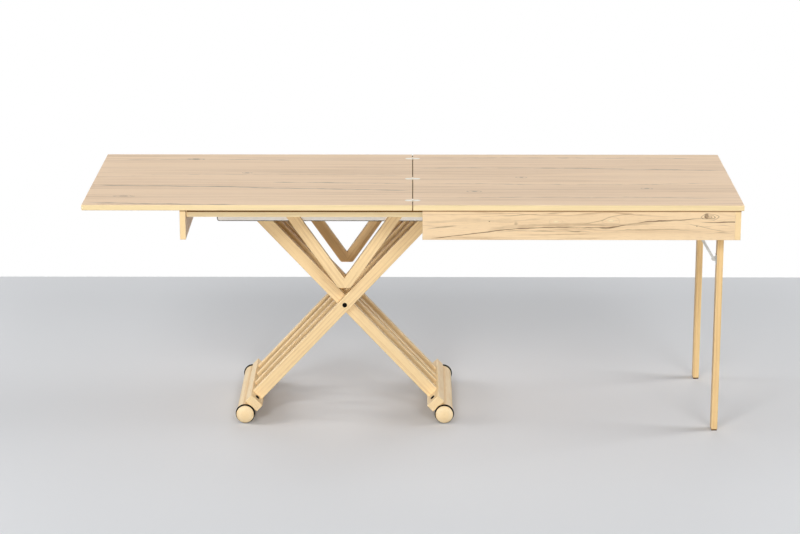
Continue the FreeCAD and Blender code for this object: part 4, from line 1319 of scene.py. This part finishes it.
@dataclass
class Studio:
    """Floor, soft light and the camera of the photograph's view."""

    camera_place: Place = (-0.0064, -7.7903, 2.6014)
    camera_tilt: float = 15.386
    camera_yaw: float = 0.25
    lens: float = 112.8
    sensor_width: float = 36.0
    wall_place: float = 1.518
    wall_height: float = 8.0
    floor_reach: float = 14.0
    fade_start: float = 3.2
    fade_end: float = 6.0
    floor_colour: Colour = linear(228, 230, 233)
    floor_bounce: Colour = linear(152, 139, 121)
    floor_roughness: float = 0.9
    floor_specular: float = 0.1
    world_light: float = 0.07
    lamps: tuple[Lamp, ...] = (
        Lamp("front_lamp", (-0.55, -8.0, 0.95), 1.3, 272.0),
        Lamp("left_key", (-2.5, -6.5, 5.0), 2.5, 172.0),
        Lamp("right_key", (2.5, -6.5, 5.0), 2.5, 142.0),
        Lamp("left_lamp", (-6.0, 0.3, 3.3), 3.0, 198.0),
        Lamp("right_lamp", (6.0, 0.3, 3.3), 3.0, 192.0),
        Lamp("back_lamp", (0.5, 7.0, 4.2), 4.0, 158.0),
    )

    def build(self) -> None:
        """Set the view, the floor, the lamps and the camera."""
        scene = bpy.context.scene
        scene.view_settings.view_transform = "Standard"
        self.build_world(scene)
        self.build_floor()
        self.build_wall()
        for lamp in self.lamps:
            lamp.hang(scene)
        self.build_camera(scene)

    def build_world(self, scene: bpy.types.Scene) -> None:
        """Light the object evenly, and show plain white to the camera and in reflections."""
        world = bpy.data.worlds.new("studio")
        world.use_nodes = True
        scene.world = world
        s = Sheet(world.node_tree)
        world.node_tree.nodes.clear()
        glows = []
        for strength in (self.world_light, 1.0):
            glow = s.add("ShaderNodeBackground")
            glow.inputs["Color"].default_value = WHITE
            glow.inputs["Strength"].default_value = strength
            glows.append(glow.outputs[0])
        shown = s.choose(self.seen(s), *glows)
        s.feed(s.add("ShaderNodeOutputWorld").inputs["Surface"], shown)

    def seen(self, s: Sheet) -> Socket:
        """Return 1 for rays that show a surface, straight on or through gloss or glass."""
        ray = s.add("ShaderNodeLightPath")
        shown = s.math("MAXIMUM", ray.outputs["Is Camera Ray"], ray.outputs["Is Glossy Ray"])
        return s.math("MAXIMUM", shown, ray.outputs["Is Transmission Ray"])

    def stand(self, name: str, corners: list[Place]) -> Sheet:
        """Make a flat stage piece of four corners.

        Args:
            name: its name.
            corners: its corners, anticlockwise from the side that it faces.

        Returns:
            The node sheet of its material, with no nodes but a Principled shader and the output.
        """
        mesh = bpy.data.meshes.new(name)
        mesh.from_pydata(corners, [], [(0, 1, 2, 3)])
        piece = bpy.data.objects.new(name, mesh)
        bpy.context.scene.collection.objects.link(piece)
        material = bpy.data.materials.new(name + "_paint")
        material.use_nodes = True
        mesh.materials.append(material)
        return Sheet(material.node_tree)

    def whiten(self, s: Sheet, under: Socket, amount: object) -> Socket:
        """Return a stage piece's shader with plain white over it, by an amount from 0 to 1."""
        paint = s.add("ShaderNodeEmission")
        paint.inputs["Color"].default_value = WHITE
        return s.choose(s.times(amount, self.seen(s)), under, paint.outputs[0])

    def show_front(self, s: Sheet, front: Socket) -> None:
        """Show a stage piece's shader from the front only, so that it never hides the table."""
        behind = s.add("ShaderNodeNewGeometry").outputs["Backfacing"]
        shown = s.choose(behind, front, s.add("ShaderNodeBsdfTransparent").outputs[0])
        s.feed(s.tree.nodes["Material Output"].inputs["Surface"], shown)

    def build_floor(self) -> None:
        """A plain pale floor that fades to white well away from the table.

        It throws back less light than it shows, so that the table keeps its shaded sides.
        """
        reach = self.floor_reach
        s = self.stand("floor", [(-reach, -reach, 0.0), (reach, -reach, 0.0), (reach, reach, 0.0),
                                 (-reach, reach, 0.0)])
        shader = s.tree.nodes["Principled BSDF"]
        shader.inputs["Base Color"].default_value = (*self.floor_colour, 1.0)
        shader.inputs["Roughness"].default_value = self.floor_roughness
        shader.inputs["Specular IOR Level"].default_value = self.floor_specular
        away = s.add("ShaderNodeVectorMath", operation="LENGTH")
        s.feed(away.inputs[0], s.add("ShaderNodeTexCoord").outputs["Object"])
        fade = s.ease(away.outputs["Value"], self.fade_start, self.fade_end)
        dull = s.add("ShaderNodeBsdfDiffuse")
        dull.inputs["Color"].default_value = (*self.floor_bounce, 1.0)
        bounced = s.add("ShaderNodeLightPath").outputs["Is Diffuse Ray"]
        lit = s.choose(bounced, shader.outputs[0], dull.outputs[0])
        self.show_front(s, self.whiten(s, lit, fade))

    def build_wall(self) -> None:
        """A white wall behind the table, which lets light through."""
        reach, back, top = self.floor_reach, self.wall_place, self.wall_height
        s = self.stand("wall", [(-reach, back, 0.0), (reach, back, 0.0), (reach, back, top),
                                (-reach, back, top)])
        self.show_front(s, self.whiten(s, s.add("ShaderNodeBsdfTransparent").outputs[0], 1.0))

    def build_camera(self, scene: bpy.types.Scene) -> None:
        """Place the camera, tilted down at the table."""
        camera = bpy.data.cameras.new("camera")
        camera.lens = self.lens
        camera.sensor_width = self.sensor_width
        camera.sensor_fit = "HORIZONTAL"
        placed = bpy.data.objects.new("camera", camera)
        placed.location = self.camera_place
        placed.rotation_euler = (math.radians(90.0 - self.camera_tilt), 0.0,
                                 math.radians(self.camera_yaw))
        scene.collection.objects.link(placed)
        scene.camera = placed


def main() -> None:
    """Build the sub-assemblies in order, then the studio."""
    logging.basicConfig(level=logging.INFO, format="%(message)s")
    builder = Builder(Finishes())
    for assembly in (Leaves(), ApronBox(), RailFrame(), ScissorBase(), FoldingLegs()):
        assembly.build(builder)
        LOG.info("%s: dressed", type(assembly).__name__)
    Studio().build()


if __name__ == "__main__":
    main()
